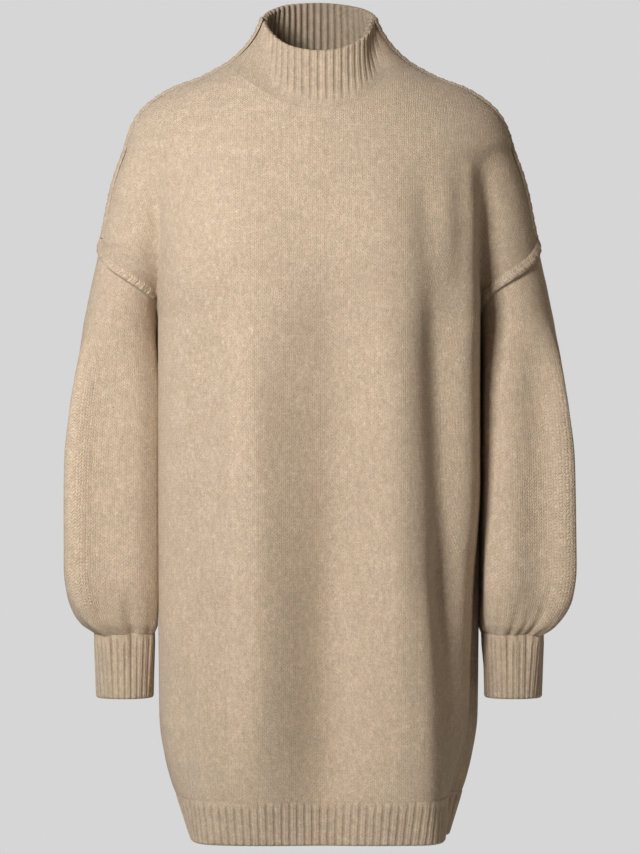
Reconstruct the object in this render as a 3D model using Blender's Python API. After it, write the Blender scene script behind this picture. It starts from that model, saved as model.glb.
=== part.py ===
"""Sweater dress in heavy wool knit, shown filled out as it is when worn.

A drop-shouldered cocoon dress of mini length: a ribbed funnel neck, front and back panels
that reach down over the upper arms, balloon sleeves gathered into ribbed cuffs, and a
narrower ribbed hem. The seams of the shoulders and armholes are rolled to the outside.
Every piece is a wall of one cloth thickness with the garment hollow inside it.

Sizes are in millimetres until build_mesh() turns them into metres. +Z is up, the front
faces -Y and +X is the wearer's left. The origin is at the base of the neck, level with the
shoulder points, in the plane of the shoulder seams.
"""

import functools
import math

import bmesh
import bpy
import numpy as np

# The cloth and its seams
WALL = 3.0              # thickness of the knit
SEAM_GAP = 0.3          # between two pieces along a seam
CREASE_GAP = 1.7        # between body and sleeve where the armhole seam turns under the arm
ROLL_WIDTH = 9.0        # rolled seams of the shoulders and armholes
ROLL_HEIGHT = 3.4
SHOULDER_LIFT = 0.8     # of a rolled seam's underside above the cloth
ARMHOLE_LIFT = 1.3      # more, where the cloth bends up into the crease beside it
ROLL_WAIST = 0.86       # its width partway up, as a share of the whole
ROLL_WAIST_UP = 0.62    # that place, as a share of its height
ROLL_CROWN = 0.42       # its width on top
ROLL_ROWS = 6           # yoke rows down which the armhole's roll keeps its full width
ROLL_RUNS_ON = 0.9      # share of the next row over which it narrows into the crease
ROLL_ENDS = (0.4, 0.7)  # its size at that end, and one row before it
GAP_GROWS_FROM = 5      # yoke row from which the seam's gap opens into the crease's

# Heights of the main lines
NECK_SIDE_Z = 6.0       # where the shoulder seam meets the collar
NECK_FRONT_Z = -52.0
NECK_BACK_Z = 0.0
ARMHOLE_TOP_Z = -193.0  # armhole seam on the outside of the arm
ARMHOLE_POWER = 1.18    # how the seam's way round the arm grows with its way down
CREASE_Z = -264.0       # where that seam runs into the crease under the arm
UNDERARM_Z = -285.0
HEM_TOP_Z = -827.0
HEM_Z = -877.0
CUFF_TOP_Z = -645.0
CUFF_Z = -718.0

# Neck
NECK_HALF = 109.0       # from the axis to the shoulder seam
NECK_FRONT_POWER = 2.4  # how quickly the neckline drops towards the front
NECK_BACK_POWER = 2.0
RIM_HALF = 65.0
RIM_FRONT = 72.0
RIM_BACK = 50.0
RIM_SIDE_Z = 62.0
RIM_BACK_RISE = 23.0    # the rim is this much higher behind
RIM_FRONT_DROP = 44.5   # and this much lower in front
FLARE_OUT = 0.2         # the collar's bend, as shares of the way from rim to base
FLARE_DOWN = 0.59

# Ribs, all round
COLLAR_RIBS = 48
HEM_RIBS = 112
CUFF_RIBS = 30
RIB_HEIGHT = 1.3
RIB_START = 0.25        # share of that height at the seam where a rib starts

# How finely the curved panels are divided
WALE_COLUMNS = (0.0, 22.0, 44.0, 64.0, 83.0, 100.0)  # wales that hang straight down
SEAM_COLUMNS = 12       # between the neck and the armhole along the shoulder seam
YOKE_ROWS = (0.0, 0.04, 0.1, 0.18, 0.28, 0.39, 0.5, 0.62, 0.75, 0.87, 1.0)
SKIRT_ROWS = (-330.0, -385.0, -440.0, -495.0, -550.0, -605.0, -660.0, -712.0, -755.0, -793.0, HEM_TOP_Z)
SLEEVE_ROWS = (0.0, 0.07, 0.15, 0.25, 0.36, 0.47, 0.58, 0.68, 0.77, 0.84, 0.9, 0.95, 1.0)
COLLAR_ROWS = (0.0, 0.22, 0.5, 0.78, 1.0)
SECTION_SAMPLES = 161
NORMAL_STEP = 1.5       # to each side, when the slope of the cloth is read
EDGE_FADE = 14.0        # folds sink into the seam over this distance from a panel's edge

# Sections of the body. half_width, front and back are the torso's reach from the axis,
# square the power of its rounded outline (2 is an ellipse), and soft the radius over which
# the crease between the torso and the arm is smoothed.
BODY = (
    # z      half_width front   back  square soft
    (12.0,      95.0,    62.0,   55.0,  1.7,   0.0),
    (6.0,      109.0,    66.0,   58.0,  1.7,   0.0),
    (-8.0,     136.0,    74.0,   65.0,  1.7,   2.0),
    (-21.0,    170.0,    81.0,   71.0,  1.7,   4.0),
    (-35.0,    192.0,    88.0,   77.0,  1.75,  6.0),
    (-48.0,    205.5,    94.0,   82.0,  1.85,  8.0),
    (-62.0,    214.0,   100.0,   86.0,  1.95, 10.0),
    (-75.0,    219.0,   105.0,   90.0,  2.05, 12.0),
    (-88.0,    222.0,   110.0,   93.0,  2.15, 14.0),
    (-116.0,   218.0,   119.0,   98.0,  2.3,  16.0),
    (-143.0,   208.0,   127.0,  102.0,  2.4,  16.0),
    (-170.0,   199.0,   133.0,  104.0,  2.5,  15.0),
    (-193.0,   193.0,   137.0,  105.0,  2.6,  13.0),
    (-230.0,   187.0,   141.0,  106.0,  2.9,   8.0),
    (-264.0,   184.8,   142.0,  106.0,  3.0,   2.0),
    (-285.0,   184.3,   141.0,  105.0,  3.0,   0.0),
    (-400.0,   184.3,   137.0,  103.0,  3.0,   0.0),
    (-500.0,   184.3,   135.0,  106.0,  3.0,   0.0),
    (-600.0,   184.0,   135.0,  113.0,  3.0,   0.0),
    (-665.0,   183.5,   135.0,  116.0,  3.0,   0.0),
    (-740.0,   182.5,   132.0,  115.0,  3.2,   0.0),
    (-785.0,   176.0,   128.0,  112.0,  3.5,   0.0),
    (-822.0,   166.5,   123.0,  107.0,  3.9,   0.0),
    (-850.0,   156.5,   118.0,  103.0,  4.4,   0.0),
    (-877.0,   149.5,   115.0,   99.0,  4.8,   0.0),
)
BODY_COLUMNS = ("z", "half_width", "front", "back", "square", "soft")

# Sections of the arm: outer and inner are its reaches from the body's axis in X, deep is half
# its depth and middle the Y of its centre, which swings forward at the cuff.
ARM = (
    # z      outer   inner   deep  middle
    (-88.0,  222.5,  136.0,  44.0,   0.0),
    (-102.0, 227.7,  137.0,  46.0,   0.0),
    (-116.0, 233.0,  139.0,  47.0,   0.0),
    (-143.0, 240.5,  142.5,  48.5,   0.0),
    (-170.0, 245.7,  147.0,  49.5,   0.0),
    (-193.0, 250.5,  152.0,  50.0,   0.0),
    (-230.0, 258.2,  164.5,  50.0,   0.0),
    (-248.0, 262.3,  171.5,  50.0,   0.0),
    (-264.0, 265.4,  179.3,  50.0,   0.0),
    (-275.0, 267.6,  183.1,  50.2,   0.0),
    (-285.0, 269.7,  184.2,  50.5,   0.0),
    (-300.0, 272.0,  186.2,  51.0,   1.0),
    (-340.0, 277.0,  186.8,  52.5,   3.0),
    (-391.0, 284.5,  187.0,  54.5,   4.0),
    (-446.0, 290.5,  187.0,  56.0,   3.0),
    (-500.0, 291.5,  187.0,  57.0,   1.0),
    (-568.0, 292.0,  187.0,  56.5,  -3.0),
    (-600.0, 288.5,  187.3,  53.5,  -5.0),
    (-626.0, 281.0,  188.0,  47.0,  -7.0),
    (-645.0, 264.0,  189.3,  39.0,  -8.0),
    (-660.0, 256.0,  190.3,  36.0,  -9.0),
    (-718.0, 255.0,  190.0,  35.0, -12.0),
)
ARM_COLUMNS = ("z", "outer", "inner", "deep", "middle")

# Folds and swells of the body. Each follows a line from (x_high, z_high) to (x_low, z_low),
# rises (or with a minus sinks) from the cloth by rise, and fades out at both ends.
BODY_FOLDS = (
    # face     x_high  z_high   x_low   z_low  width   rise   fade
    ("front",   -82.0, -110.0,  -82.0, -270.0,  46.0,   6.0,  80.0),  # bust
    ("front",    82.0, -110.0,   82.0, -270.0,  46.0,   6.0,  80.0),
    ("front",    -6.0, -190.0,   -8.0, -900.0,  30.0,  -8.0, 120.0),  # middle trough
    ("front",   -72.0, -240.0,  -66.0, -840.0,  26.0,   6.0, 140.0),
    ("front",    62.0, -240.0,   72.0, -850.0,  24.0,   7.0, 140.0),
    ("front",   103.0, -270.0,  134.0, -930.0,  15.0,   7.0, 110.0),  # edge of the left side
    ("front",   122.0, -240.0,  156.0, -800.0,  15.0, -14.0,  90.0),
    ("front",   150.0, -560.0,  160.0, -930.0,  18.0,  -8.0, 110.0),
    ("front",   156.0, -260.0,  172.0, -700.0,  13.0,   5.0,  80.0),
    ("front",  -158.0, -640.0, -146.0, -930.0,  13.0,  -6.0,  90.0),
    ("front",  -128.0, -260.0, -136.0, -620.0,  18.0,  -4.0, 120.0),
    ("back",    -70.0, -150.0,  -64.0, -860.0,  28.0,   6.0, 160.0),
    ("back",     58.0, -180.0,   70.0, -860.0,  26.0,   7.0, 160.0),
    ("back",     -4.0, -260.0,    6.0, -900.0,  24.0,  -8.0, 160.0),
    ("back",   -126.0, -300.0, -140.0, -900.0,  17.0,  -9.0, 140.0),
    ("back",    120.0, -320.0,  134.0, -860.0,  17.0,  -7.0, 140.0),
)
BODY_FOLD_COLUMNS = ("face", "x_high", "z_high", "x_low", "z_low", "width", "rise", "fade")

# Folds of the sleeves. Angles run round the arm in degrees from its outside, 0, over the
# front, 90, to the body, 180, and down to -90 at the back.
SLEEVE_FOLDS = (
    # side angle_high  z_high angle_low   z_low  width   rise   fade
    (1,       92.0,   -270.0,    86.0,  -668.0,  19.0,  -9.0, 100.0),
    (1,      128.0,   -310.0,   126.0,  -650.0,  18.0,   4.0,  80.0),
    (1,       52.0,   -330.0,    50.0,  -650.0,  18.0,   3.0,  80.0),
    (1,      -70.0,   -290.0,   -84.0,  -660.0,  22.0,  -7.0, 110.0),
    (1,     -128.0,   -330.0,  -122.0,  -660.0,  18.0,   3.0, 110.0),
    (1,       20.0,   -560.0,    24.0,  -668.0,  14.0,  -4.0,  50.0),   # gathers over the cuff
    (1,      116.0,   -580.0,   112.0,  -668.0,  13.0,  -3.0,  40.0),
    (1,      -30.0,   -550.0,   -26.0,  -668.0,  15.0,  -4.0,  50.0),
    (-1,     150.0,   -300.0,   140.0,  -650.0,  16.0,  -6.0,  90.0),
    (-1,     100.0,   -300.0,   106.0,  -620.0,  22.0,   4.0, 110.0),
    (-1,      72.0,   -480.0,    76.0,  -672.0,  14.0,  -6.0,  60.0),
    (-1,      46.0,   -350.0,    50.0,  -640.0,  16.0,  -4.0,  80.0),
    (-1,     -80.0,   -290.0,   -70.0,  -660.0,  22.0,  -7.0, 110.0),
    (-1,     -35.0,   -540.0,   -32.0,  -668.0,  15.0,  -4.0,  50.0),
    (-1,     112.0,   -580.0,   114.0,  -668.0,  13.0,  -4.0,  40.0),
)
SLEEVE_FOLD_COLUMNS = ("side", "angle_high", "z_high", "angle_low", "z_low", "width", "rise", "fade")

OATMEAL = (0.62, 0.47, 0.32, 1.0)
OATMEAL_SHADE = (0.55, 0.41, 0.28, 1.0)
WOOL_ROUGHNESS = 0.95
SMOOTH_ANGLE = 50.0


def smooth_curve(knots, values, at):
    """A monotone cubic through the values, for knots in rising order."""
    step = np.diff(knots)
    slope = np.diff(values) / step
    product = slope[:-1] * slope[1:]
    total = slope[:-1] + slope[1:]
    inner = np.where(product > 0, 2 * product / np.where(total == 0, 1, total), 0)
    tangent = np.concatenate([slope[:1], inner, slope[-1:]])
    i = np.clip(np.searchsorted(knots, at) - 1, 0, len(step) - 1)
    t = np.clip((at - knots[i]) / step[i], 0, 1)
    start = (1 + 2 * t) * (1 - t) ** 2 * values[i] + t * (1 - t) ** 2 * step[i] * tangent[i]
    end = t * t * (3 - 2 * t) * values[i + 1] + t * t * (t - 1) * step[i] * tangent[i + 1]
    return start + end


def read(rows, columns, name, z):
    """The value of one column of a table at the height z."""
    table = np.array(rows, float)[::-1]
    return smooth_curve(table[:, 0], table[:, columns.index(name)], np.asarray(z, float))


def body_size(name, z):
    return read(BODY, BODY_COLUMNS, name, z)


def arm_size(name, z):
    return read(ARM, ARM_COLUMNS, name, z)


def soft_step(t):
    t = np.clip(t, 0, 1)
    return t * t * (3 - 2 * t)


def fade_between(z, z_high, z_low, fade):
    """1 inside a stretch of heights, falling softly to 0 at its two ends."""
    return soft_step((z_high - z) / fade) * soft_step((z - z_low) / fade)


def measure(path):
    """Distance along a path of points, from its start."""
    return np.concatenate([[0], np.cumsum(np.linalg.norm(np.diff(path, axis=0), axis=1))])


def along(path, distances):
    """Points of a path at these distances from its start."""
    length = measure(path)
    return np.stack([np.interp(distances, length, path[:, k]) for k in range(path.shape[1])], axis=1)


def even(path, count):
    """The same path, as points evenly spaced along it."""
    return along(path, np.linspace(0, measure(path)[-1], count))


NECK_COLUMNS = len(WALE_COLUMNS)                # from the centre line to the shoulder point
MIDDLE_COLUMN = NECK_COLUMNS + SEAM_COLUMNS     # of a whole panel

# ---------------------------------------------------------------- sections
# A half section lies in the plane (x, depth), from the centre line (0, front or back) to
# the side, with depth measured outwards towards that face.

def torso_curve(z, face, angles):
    """Rounded outline of the torso: angle 0 is the centre line, a right angle the side."""
    half, depth, power = body_size("half_width", z), body_size(face, z), body_size("square", z)
    reach = (np.sin(angles) / half) ** power + (np.cos(angles) / depth) ** power
    reach = reach ** (-1 / power)
    return np.stack([reach * np.sin(angles), reach * np.cos(angles)], axis=1)


def arm_curve(z, angles):
    """Outline of the arm: angle 0 is its outside, a straight angle the side to the body."""
    outer, inner, deep = arm_size("outer", z), arm_size("inner", z), arm_size("deep", z)
    radius = (outer - inner) / 2
    return np.stack([outer - radius + radius * np.cos(angles), deep * np.sin(angles)], axis=1)


@functools.lru_cache(maxsize=None)
def torso_meets_arm(z, face):
    """Angles on the torso's and the arm's outlines where the two cross, or None."""
    outer, inner, deep = arm_size("outer", z), arm_size("inner", z), arm_size("deep", z)
    radius = (outer - inner) / 2

    def outside_arm(angle):
        x, depth = torso_curve(z, face, np.array([angle]))[0]
        return ((x - outer + radius) / radius) ** 2 + (depth / deep) ** 2 > 1

    low, high = 0.2, math.pi / 2 - 1e-9
    if outside_arm(high):
        return None
    for _ in range(40):
        middle = (low + high) / 2
        low, high = (middle, high) if outside_arm(middle) else (low, middle)
    x, depth = torso_curve(z, face, np.array([low]))[0]
    return low, math.atan2(depth / deep, (x - outer + radius) / radius)


def armhole_angle(z):
    """Angle round the arm that the armhole seam has reached at the height z."""
    crease = torso_meets_arm(CREASE_Z, "front")[1]
    share = np.clip((ARMHOLE_TOP_Z - z) / (ARMHOLE_TOP_Z - CREASE_Z), 0, 1)
    return crease * share ** ARMHOLE_POWER


def soften(path, radius):
    """Smooths an evenly spaced half section, which goes on mirrored past both its ends."""
    step = measure(path)[1]
    if radius < step:
        return path
    reach = int(3 * radius / step)
    before = path[1:reach + 1][::-1] * (-1, 1)
    after = path[-reach - 1:-1][::-1] * (1, -1)
    weights = np.exp(-0.5 * (np.arange(-reach, reach + 1) * step / radius) ** 2)
    whole = np.concatenate([before, path, after])
    return np.stack([np.convolve(whole[:, k], weights / weights.sum(), "valid") for k in (0, 1)], axis=1)


def fold_heights(z, face, side, x):
    """How far the folds lift the body's cloth at x, on this face and side."""
    lift = np.zeros_like(x)
    for row in BODY_FOLDS:
        fold = dict(zip(BODY_FOLD_COLUMNS, row))
        if fold["face"] != face:
            continue
        share = (fold["z_high"] - z) / (fold["z_high"] - fold["z_low"])
        middle = fold["x_high"] + (fold["x_low"] - fold["x_high"]) * share
        across = (side * x - middle) / fold["width"]
        height = fade_between(z, fold["z_high"], fold["z_low"], fold["fade"])
        lift += fold["rise"] * height * np.exp(-across ** 2)
    return lift


def outward(path):
    """Unit normals of a half section in its plane."""
    run = np.gradient(path, axis=0)
    run /= np.linalg.norm(run, axis=1)[:, None]
    return np.stack([-run[:, 1], run[:, 0]], axis=1)


def half_section(z, face):
    """The cloth's outline at a height, from the centre line to the side, and the share of
    its length at which the body panel ends."""
    crossing = torso_meets_arm(z, face) if UNDERARM_Z < z < ARM[0][0] else None
    if crossing is None:
        return even(torso_curve(z, face, np.linspace(0, math.pi / 2, 181)), SECTION_SAMPLES), 1.0
    torso = torso_curve(z, face, np.linspace(0, crossing[0], 121))
    arm = arm_curve(z, np.linspace(crossing[1], 0, 121))
    end = measure(torso)[-1] + measure(arm)[-1]
    if z <= CREASE_Z:
        return np.concatenate([torso, arm[1:]]), measure(torso)[-1] / end
    rest = measure(arm_curve(z, np.linspace(0, float(armhole_angle(z)), 61)))[-1]
    path = even(np.concatenate([torso, arm[1:]]), SECTION_SAMPLES)
    return soften(path, float(body_size("soft", z))), 1 - rest / end


def panel_outline(z, face, side):
    """Half section of a body panel, with its folds: from the centre line to its edge."""
    path, share = half_section(z, face)
    path = along(path, np.linspace(0, share * measure(path)[-1], SECTION_SAMPLES))
    rim = soft_step((measure(path)[-1] - measure(path)) / EDGE_FADE)
    return path + outward(path) * (fold_heights(z, face, side, path[:, 0]) * rim)[:, None]


def arm_outline(z, face):
    """Half of the sleeve's section: from the outside of the arm to the armhole seam or,
    below the underarm, to the side next to the body."""
    if z <= UNDERARM_Z:
        return even(arm_curve(z, np.linspace(0, math.pi, 121)), SECTION_SAMPLES)
    path, share = half_section(z, face)
    whole = measure(path)[-1]
    return along(path, np.linspace(whole, share * whole, SECTION_SAMPLES))


# ---------------------------------------------------------------- body panels

LEVELS = np.concatenate([
    np.arange(NECK_SIDE_Z, -60, -2),
    np.arange(-60, UNDERARM_Z - 1, -3),
    np.arange(UNDERARM_Z - 2, HEM_Z - 1, -5),
    [HEM_Z],
])
SIGN = {"front": -1, "back": 1}
EDGES = ((1, -1), (-1, 0))      # of each side, the column of a panel at its edge


def neckline_height(x, face):
    """Height of the neckline at the distance x from the axis."""
    cosine = math.sqrt(max(0.0, 1 - (x / NECK_HALF) ** 2))
    if face == "front":
        return NECK_SIDE_Z - (NECK_SIDE_Z - NECK_FRONT_Z) * cosine ** NECK_FRONT_POWER
    return NECK_SIDE_Z - (NECK_SIDE_Z - NECK_BACK_Z) * cosine ** NECK_BACK_POWER


class Panel:
    """One half of the front or the back: wales over the chest hang straight down, and
    those past the last of WALE_COLUMNS keep their distance from it along the cloth."""

    def __init__(self, face, side):
        self.face, self.side = face, side
        self.outlines = [panel_outline(z, face, side) for z in LEVELS]
        self.lengths = np.array([measure(path)[-1] for path in self.outlines])
        self.straight = np.array([self.distance_at(path, WALE_COLUMNS[-1]) for path in self.outlines])
        rest = self.lengths - self.straight
        self.widest = float(np.interp(-ARMHOLE_TOP_Z, -LEVELS, rest))
        self.stretch = np.where(LEVELS >= ARMHOLE_TOP_Z, 1, rest / self.widest)

    def distance_at(self, path, x):
        """Distance from the centre line at which the outline reaches x."""
        far = int(np.argmax(path[:, 0] >= x)) if path[:, 0].max() >= x else len(path) - 1
        return float(np.interp(x, path[:far + 1, 0], measure(path)[:far + 1]))

    def seam_distance(self, z):
        """Distance past the straight wales at which the shoulder seam lies at height z."""
        return float(np.interp(-z, -LEVELS, self.lengths - self.straight))

    def column(self, kind, value):
        """Points and horizontal directions of one column at all LEVELS."""
        points, runs = [], []
        for path, straight, stretch in zip(self.outlines, self.straight, self.stretch):
            reach = self.distance_at(path, value) if kind == "wale" else straight + value * stretch
            length = measure(path)
            reach = min(reach, length[-1])
            near = along(path, [max(reach - 1, 0), reach, min(reach + 1, length[-1])])
            points.append(near[1])
            runs.append((near[2] - near[0]) / np.linalg.norm(near[2] - near[0]))
        return np.array(points), np.array(runs)

    def sample(self, kind, value, heights):
        """Points and outward normals of one column at these heights."""
        points, runs = self.column(kind, value)

        def at(table, z):
            return np.stack([np.interp(-z, -LEVELS, table[:, k]) for k in (0, 1)], axis=1)

        z = np.asarray(heights, float)
        above, below = np.minimum(z + NORMAL_STEP, z[0]), z - NORMAL_STEP
        down = np.concatenate([at(points, below) - at(points, above), (below - above)[:, None]], axis=1)
        run = np.concatenate([at(runs, z), np.zeros((len(z), 1))], axis=1)
        place = np.array((self.side, SIGN[self.face], 1))
        points = np.concatenate([at(points, z), z[:, None]], axis=1)
        return points * place, unit(np.cross(run, down)) * place


def seam_heights():
    """Heights of the columns that start at the shoulder seam, from neck to armhole."""
    z = np.linspace(NECK_SIDE_Z, ARMHOLE_TOP_Z, 200)
    seam = measure(np.stack([shoulder_reach(z), z], axis=1))
    share = np.linspace(0, 1, SEAM_COLUMNS + 1)
    return np.interp(share * seam[-1], seam, z)


def shoulder_reach(z):
    """Distance of the shoulder seam from the axis."""
    z = np.asarray(z, float)
    return np.where(z > ARM[0][0], body_size("half_width", z), arm_size("outer", z))


def half_panel(face, side):
    """Grids of points and normals, [row, column], from the centre line to the edge."""
    panel = Panel(face, side)
    columns = [("wale", x, neckline_height(x, face)) for x in WALE_COLUMNS]
    columns += [("seam", panel.seam_distance(z), z) for z in seam_heights()]
    points, normals = [], []
    for kind, value, top in columns:
        heights = [top + (UNDERARM_Z - top) * row for row in YOKE_ROWS] + list(SKIRT_ROWS)
        place, normal = panel.sample(kind, value, heights)
        if kind == "seam":
            slope = float(shoulder_reach(top - 1) - shoulder_reach(top + 1)) / 2
            place[0, :2] = side * shoulder_reach(top), 0
            normal[0] = unit((side, 0, slope))
        points.append(place)
        normals.append(normal)
    points, normals = np.stack(points, axis=1), np.stack(normals, axis=1)
    below = len(YOKE_ROWS) - 1
    points[below:, -1, 1] = 0
    normals[below:, -1, 1] = 0
    normals[below:, -1] = unit(normals[below:, -1])
    return points, normals


def unit(vectors):
    vectors = np.asarray(vectors, float)
    return vectors / np.linalg.norm(vectors, axis=-1, keepdims=True)


def whole_panel(face):
    """A body panel from the right side (-X) to the left (+X)."""
    right, left = half_panel(face, -1), half_panel(face, 1)
    points, normals = (np.concatenate([a[:, :0:-1], b], axis=1) for a, b in zip(right, left))
    normals[:, MIDDLE_COLUMN, 0] = 0
    normals[:, MIDDLE_COLUMN] = unit(normals[:, MIDDLE_COLUMN])
    return points, normals


# ---------------------------------------------------------------- sleeves

def sleeve_lift(side, angles, z):
    """How far the folds lift a sleeve's cloth at these signed angles and heights."""
    lift = np.zeros_like(z)
    for row in SLEEVE_FOLDS:
        fold = dict(zip(SLEEVE_FOLD_COLUMNS, row))
        if fold["side"] != side:
            continue
        share = (fold["z_high"] - z) / (fold["z_high"] - fold["z_low"])
        middle = fold["angle_high"] + (fold["angle_low"] - fold["angle_high"]) * share
        across = (np.degrees(angles) - middle) / fold["width"]
        height = fade_between(z, fold["z_high"], fold["z_low"], fold["fade"])
        lift += fold["rise"] * height * np.exp(-across ** 2)
    return lift


def edge_angle(z, face):
    """Angle round the arm at which the sleeve's section ends at the height z."""
    if z <= UNDERARM_Z:
        return math.pi
    if z <= CREASE_Z:
        return torso_meets_arm(z, face)[1]
    return float(armhole_angle(z))


def half_sleeve(side, face, tops, low, seam_normals):
    """Grids of points and normals of a sleeve's front or back half. tops are the heights
    at which its columns leave the armhole seam, where the body panel has seam_normals."""
    levels = np.concatenate([
        np.arange(ARMHOLE_TOP_Z, UNDERARM_Z, -3),
        np.arange(UNDERARM_Z, low - 3, -4),
    ])
    outlines = [arm_outline(z, face) for z in levels]
    lengths = np.array([measure(path)[-1] for path in outlines])
    limits = np.array([edge_angle(z, face) for z in levels])
    points, normals = [], []
    for top, seam_normal in zip(tops, seam_normals):
        angle = edge_angle(top, face)
        shares = np.clip(angle / np.maximum(limits, 1e-6), 0, 1)
        near, here, far = (
            np.array([along(path, [np.clip(share * length + d, 0, length)])[0]
                      for path, share, length in zip(outlines, shares, lengths)])
            for d in (-1, 0, 1)
        )
        z = top + (low - top) * np.array(SLEEVE_ROWS)
        middle = np.where(z < UNDERARM_Z, arm_size("middle", z), 0)

        def at(table, heights):
            return np.stack([np.interp(-heights, -levels, table[:, k]) for k in (0, 1)], axis=1)

        above, below = np.minimum(z + NORMAL_STEP, top), np.maximum(z - NORMAL_STEP, low)
        down = np.concatenate([at(here, below) - at(here, above), (below - above)[:, None]], axis=1)
        run = np.concatenate([at(far, z) - at(near, z), np.zeros((len(z), 1))], axis=1)
        place = np.array((side, SIGN[face], 1))
        normal = np.cross(down, run) * place
        if top > CREASE_Z:
            normal[0] = seam_normal
        normal = unit(normal)
        point = np.concatenate([at(here, z), z[:, None]], axis=1) * place
        point[:, 1] += middle
        lift = sleeve_lift(side, np.full_like(z, -SIGN[face] * angle), z)
        points.append(point + normal * lift[:, None])
        normals.append(normal)
    return np.stack(points, axis=1), np.stack(normals, axis=1)


def whole_sleeve(side, tops, low, seam_normals):
    """A sleeve all round: from its outside over the front and under the arm to the back."""
    front = half_sleeve(side, "front", tops, low, seam_normals["front"])
    back = half_sleeve(side, "back", tops, low, seam_normals["back"])
    points, normals = (np.concatenate([a, b[:, -2:0:-1]], axis=1) for a, b in zip(front, back))
    inside = front[0].shape[1] - 1
    for column in (0, inside):
        normals[:, column, 1] = 0
    return points, unit(normals)


# ---------------------------------------------------------------- ribbed bands

def grid_normals(points, outside):
    """Normals of a grid of points, turned to the side of the point grid `outside`."""
    across = np.gradient(points, axis=1)
    down = np.gradient(points, axis=0)
    normals = unit(np.cross(across, down))
    return normals * np.sign((normals * outside).sum(axis=-1))[..., None]


def collar_half(face, base):
    """Collar from its base, a line of points along the neckline from -X to +X."""
    shares = np.linspace(0, 1, COLLAR_RIBS + 1)
    foot = along(base, shares * measure(base)[-1])
    angle = math.pi * (shares - 0.5)
    middle = (RIM_BACK - RIM_FRONT) / 2
    radius = (RIM_BACK + RIM_FRONT) / 2
    rise = RIM_BACK_RISE if face == "back" else -RIM_FRONT_DROP
    rim = np.stack([
        RIM_HALF * np.sin(angle),
        middle + SIGN[face] * radius * np.cos(angle),
        RIM_SIDE_Z + rise * np.cos(angle),
    ], axis=1)
    bend = rim + (foot - rim) * (FLARE_OUT, FLARE_OUT, FLARE_DOWN)
    points = np.stack([(1 - t) ** 2 * foot + 2 * t * (1 - t) * bend + t * t * rim for t in COLLAR_ROWS])
    from_axis = points * (1, 1, 0) + (0, -middle, 0)
    normals = grid_normals(points, from_axis)
    for column in (0, -1):
        path = np.gradient(points[:, column], axis=0)
        side = np.cross(path, (0, 1, 0))
        normals[:, column] = unit(side * np.sign(side[:, :1] * points[:, column, :1]))
    return points, normals


def ribbed(points, normals, flat_ends=False):
    """Raises every second column of a band into a rib that runs out at its first row. The
    first and last ribs stay flat where a rolled seam covers them."""
    raised = np.zeros(points.shape[:2])
    raised[:, 1::2] = RIB_HEIGHT
    raised[0] *= RIB_START
    if flat_ends:
        raised[:, (1, -2)] = 0
    return points + normals * raised[..., None]


def hem_half(face, top_points):
    """Ribbed hem under a body panel, whose lower edge is top_points."""
    shares = np.linspace(0, 1, HEM_RIBS + 1)
    top = along(top_points, shares * measure(top_points)[-1])
    right = panel_outline(HEM_Z, face, -1) * (-1, SIGN[face])
    left = panel_outline(HEM_Z, face, 1) * (1, SIGN[face])
    low = np.concatenate([right[:0:-1], left])
    low = along(low, shares * measure(low)[-1])
    low = np.concatenate([low, np.full((len(low), 1), HEM_Z)], axis=1)
    points = np.stack([top, (top + low) / 2, low])
    normals = grid_normals(points, points * (1, 1, 0))
    for column in (0, -1):
        normals[:, column, 1] = 0
    return points, unit(normals)


def cuff_rings(side, top_points):
    """Ribbed cuff under a sleeve, whose lower edge is the ring top_points."""
    shares = np.linspace(0, 1, 2 * CUFF_RIBS + 1)[:-1]
    ring = np.concatenate([top_points, top_points[:1]])
    top = along(ring, shares * measure(ring)[-1])
    centre = top_points.mean(axis=0)
    angle = np.unwrap(np.arctan2((top - centre)[:, 1], (top - centre)[:, 0]))
    outer, inner, deep = (arm_size(name, CUFF_Z) for name in ("outer", "inner", "deep"))
    low = np.stack([
        side * (outer + inner) / 2 + (outer - inner) / 2 * np.cos(angle),
        arm_size("middle", CUFF_Z) + deep * np.sin(angle),
        np.full_like(angle, CUFF_Z),
    ], axis=1)
    points = np.stack([top, low])
    outside = np.cos(angle)[:, None] * (1, 0, 0) + np.sin(angle)[:, None] * (0, 1, 0)
    once_round = [-1, *range(len(angle)), 0]
    normals = grid_normals(points[:, once_round], outside[None, once_round])
    return points, normals[:, 1:-1]


# ---------------------------------------------------------------- meshes

def step_in(points, rows=(), columns=()):
    """Draws edges of a grid in by half a seam's gap, towards the next row or column."""
    points = points.copy()
    for row in rows:
        points[row] += SEAM_GAP / 2 * unit(points[1 if row == 0 else -2] - points[row])
    for column in columns:
        points[:, column] += SEAM_GAP / 2 * unit(points[:, 1 if column == 0 else -2] - points[:, column])
    return points


def build_mesh(name, bm, colour):
    """Gives a finished bmesh, in millimetres, its object and material."""
    bmesh.ops.scale(bm, vec=(0.001, 0.001, 0.001), verts=bm.verts)
    bmesh.ops.recalc_face_normals(bm, faces=bm.faces)
    mesh = bpy.data.meshes.new(name)
    bm.to_mesh(mesh)
    bm.free()
    mesh.shade_smooth()
    mesh.set_sharp_from_angle(angle=math.radians(SMOOTH_ANGLE))
    material = bpy.data.materials.new(name + "_wool")
    material.use_nodes = True
    wool = material.node_tree.nodes["Principled BSDF"]
    wool.inputs["Base Color"].default_value = colour
    wool.inputs["Roughness"].default_value = WOOL_ROUGHNESS
    wool.inputs["Metallic"].default_value = 0.0
    mesh.materials.append(material)
    part = bpy.data.objects.new(name, mesh)
    bpy.context.scene.collection.objects.link(part)


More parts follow.
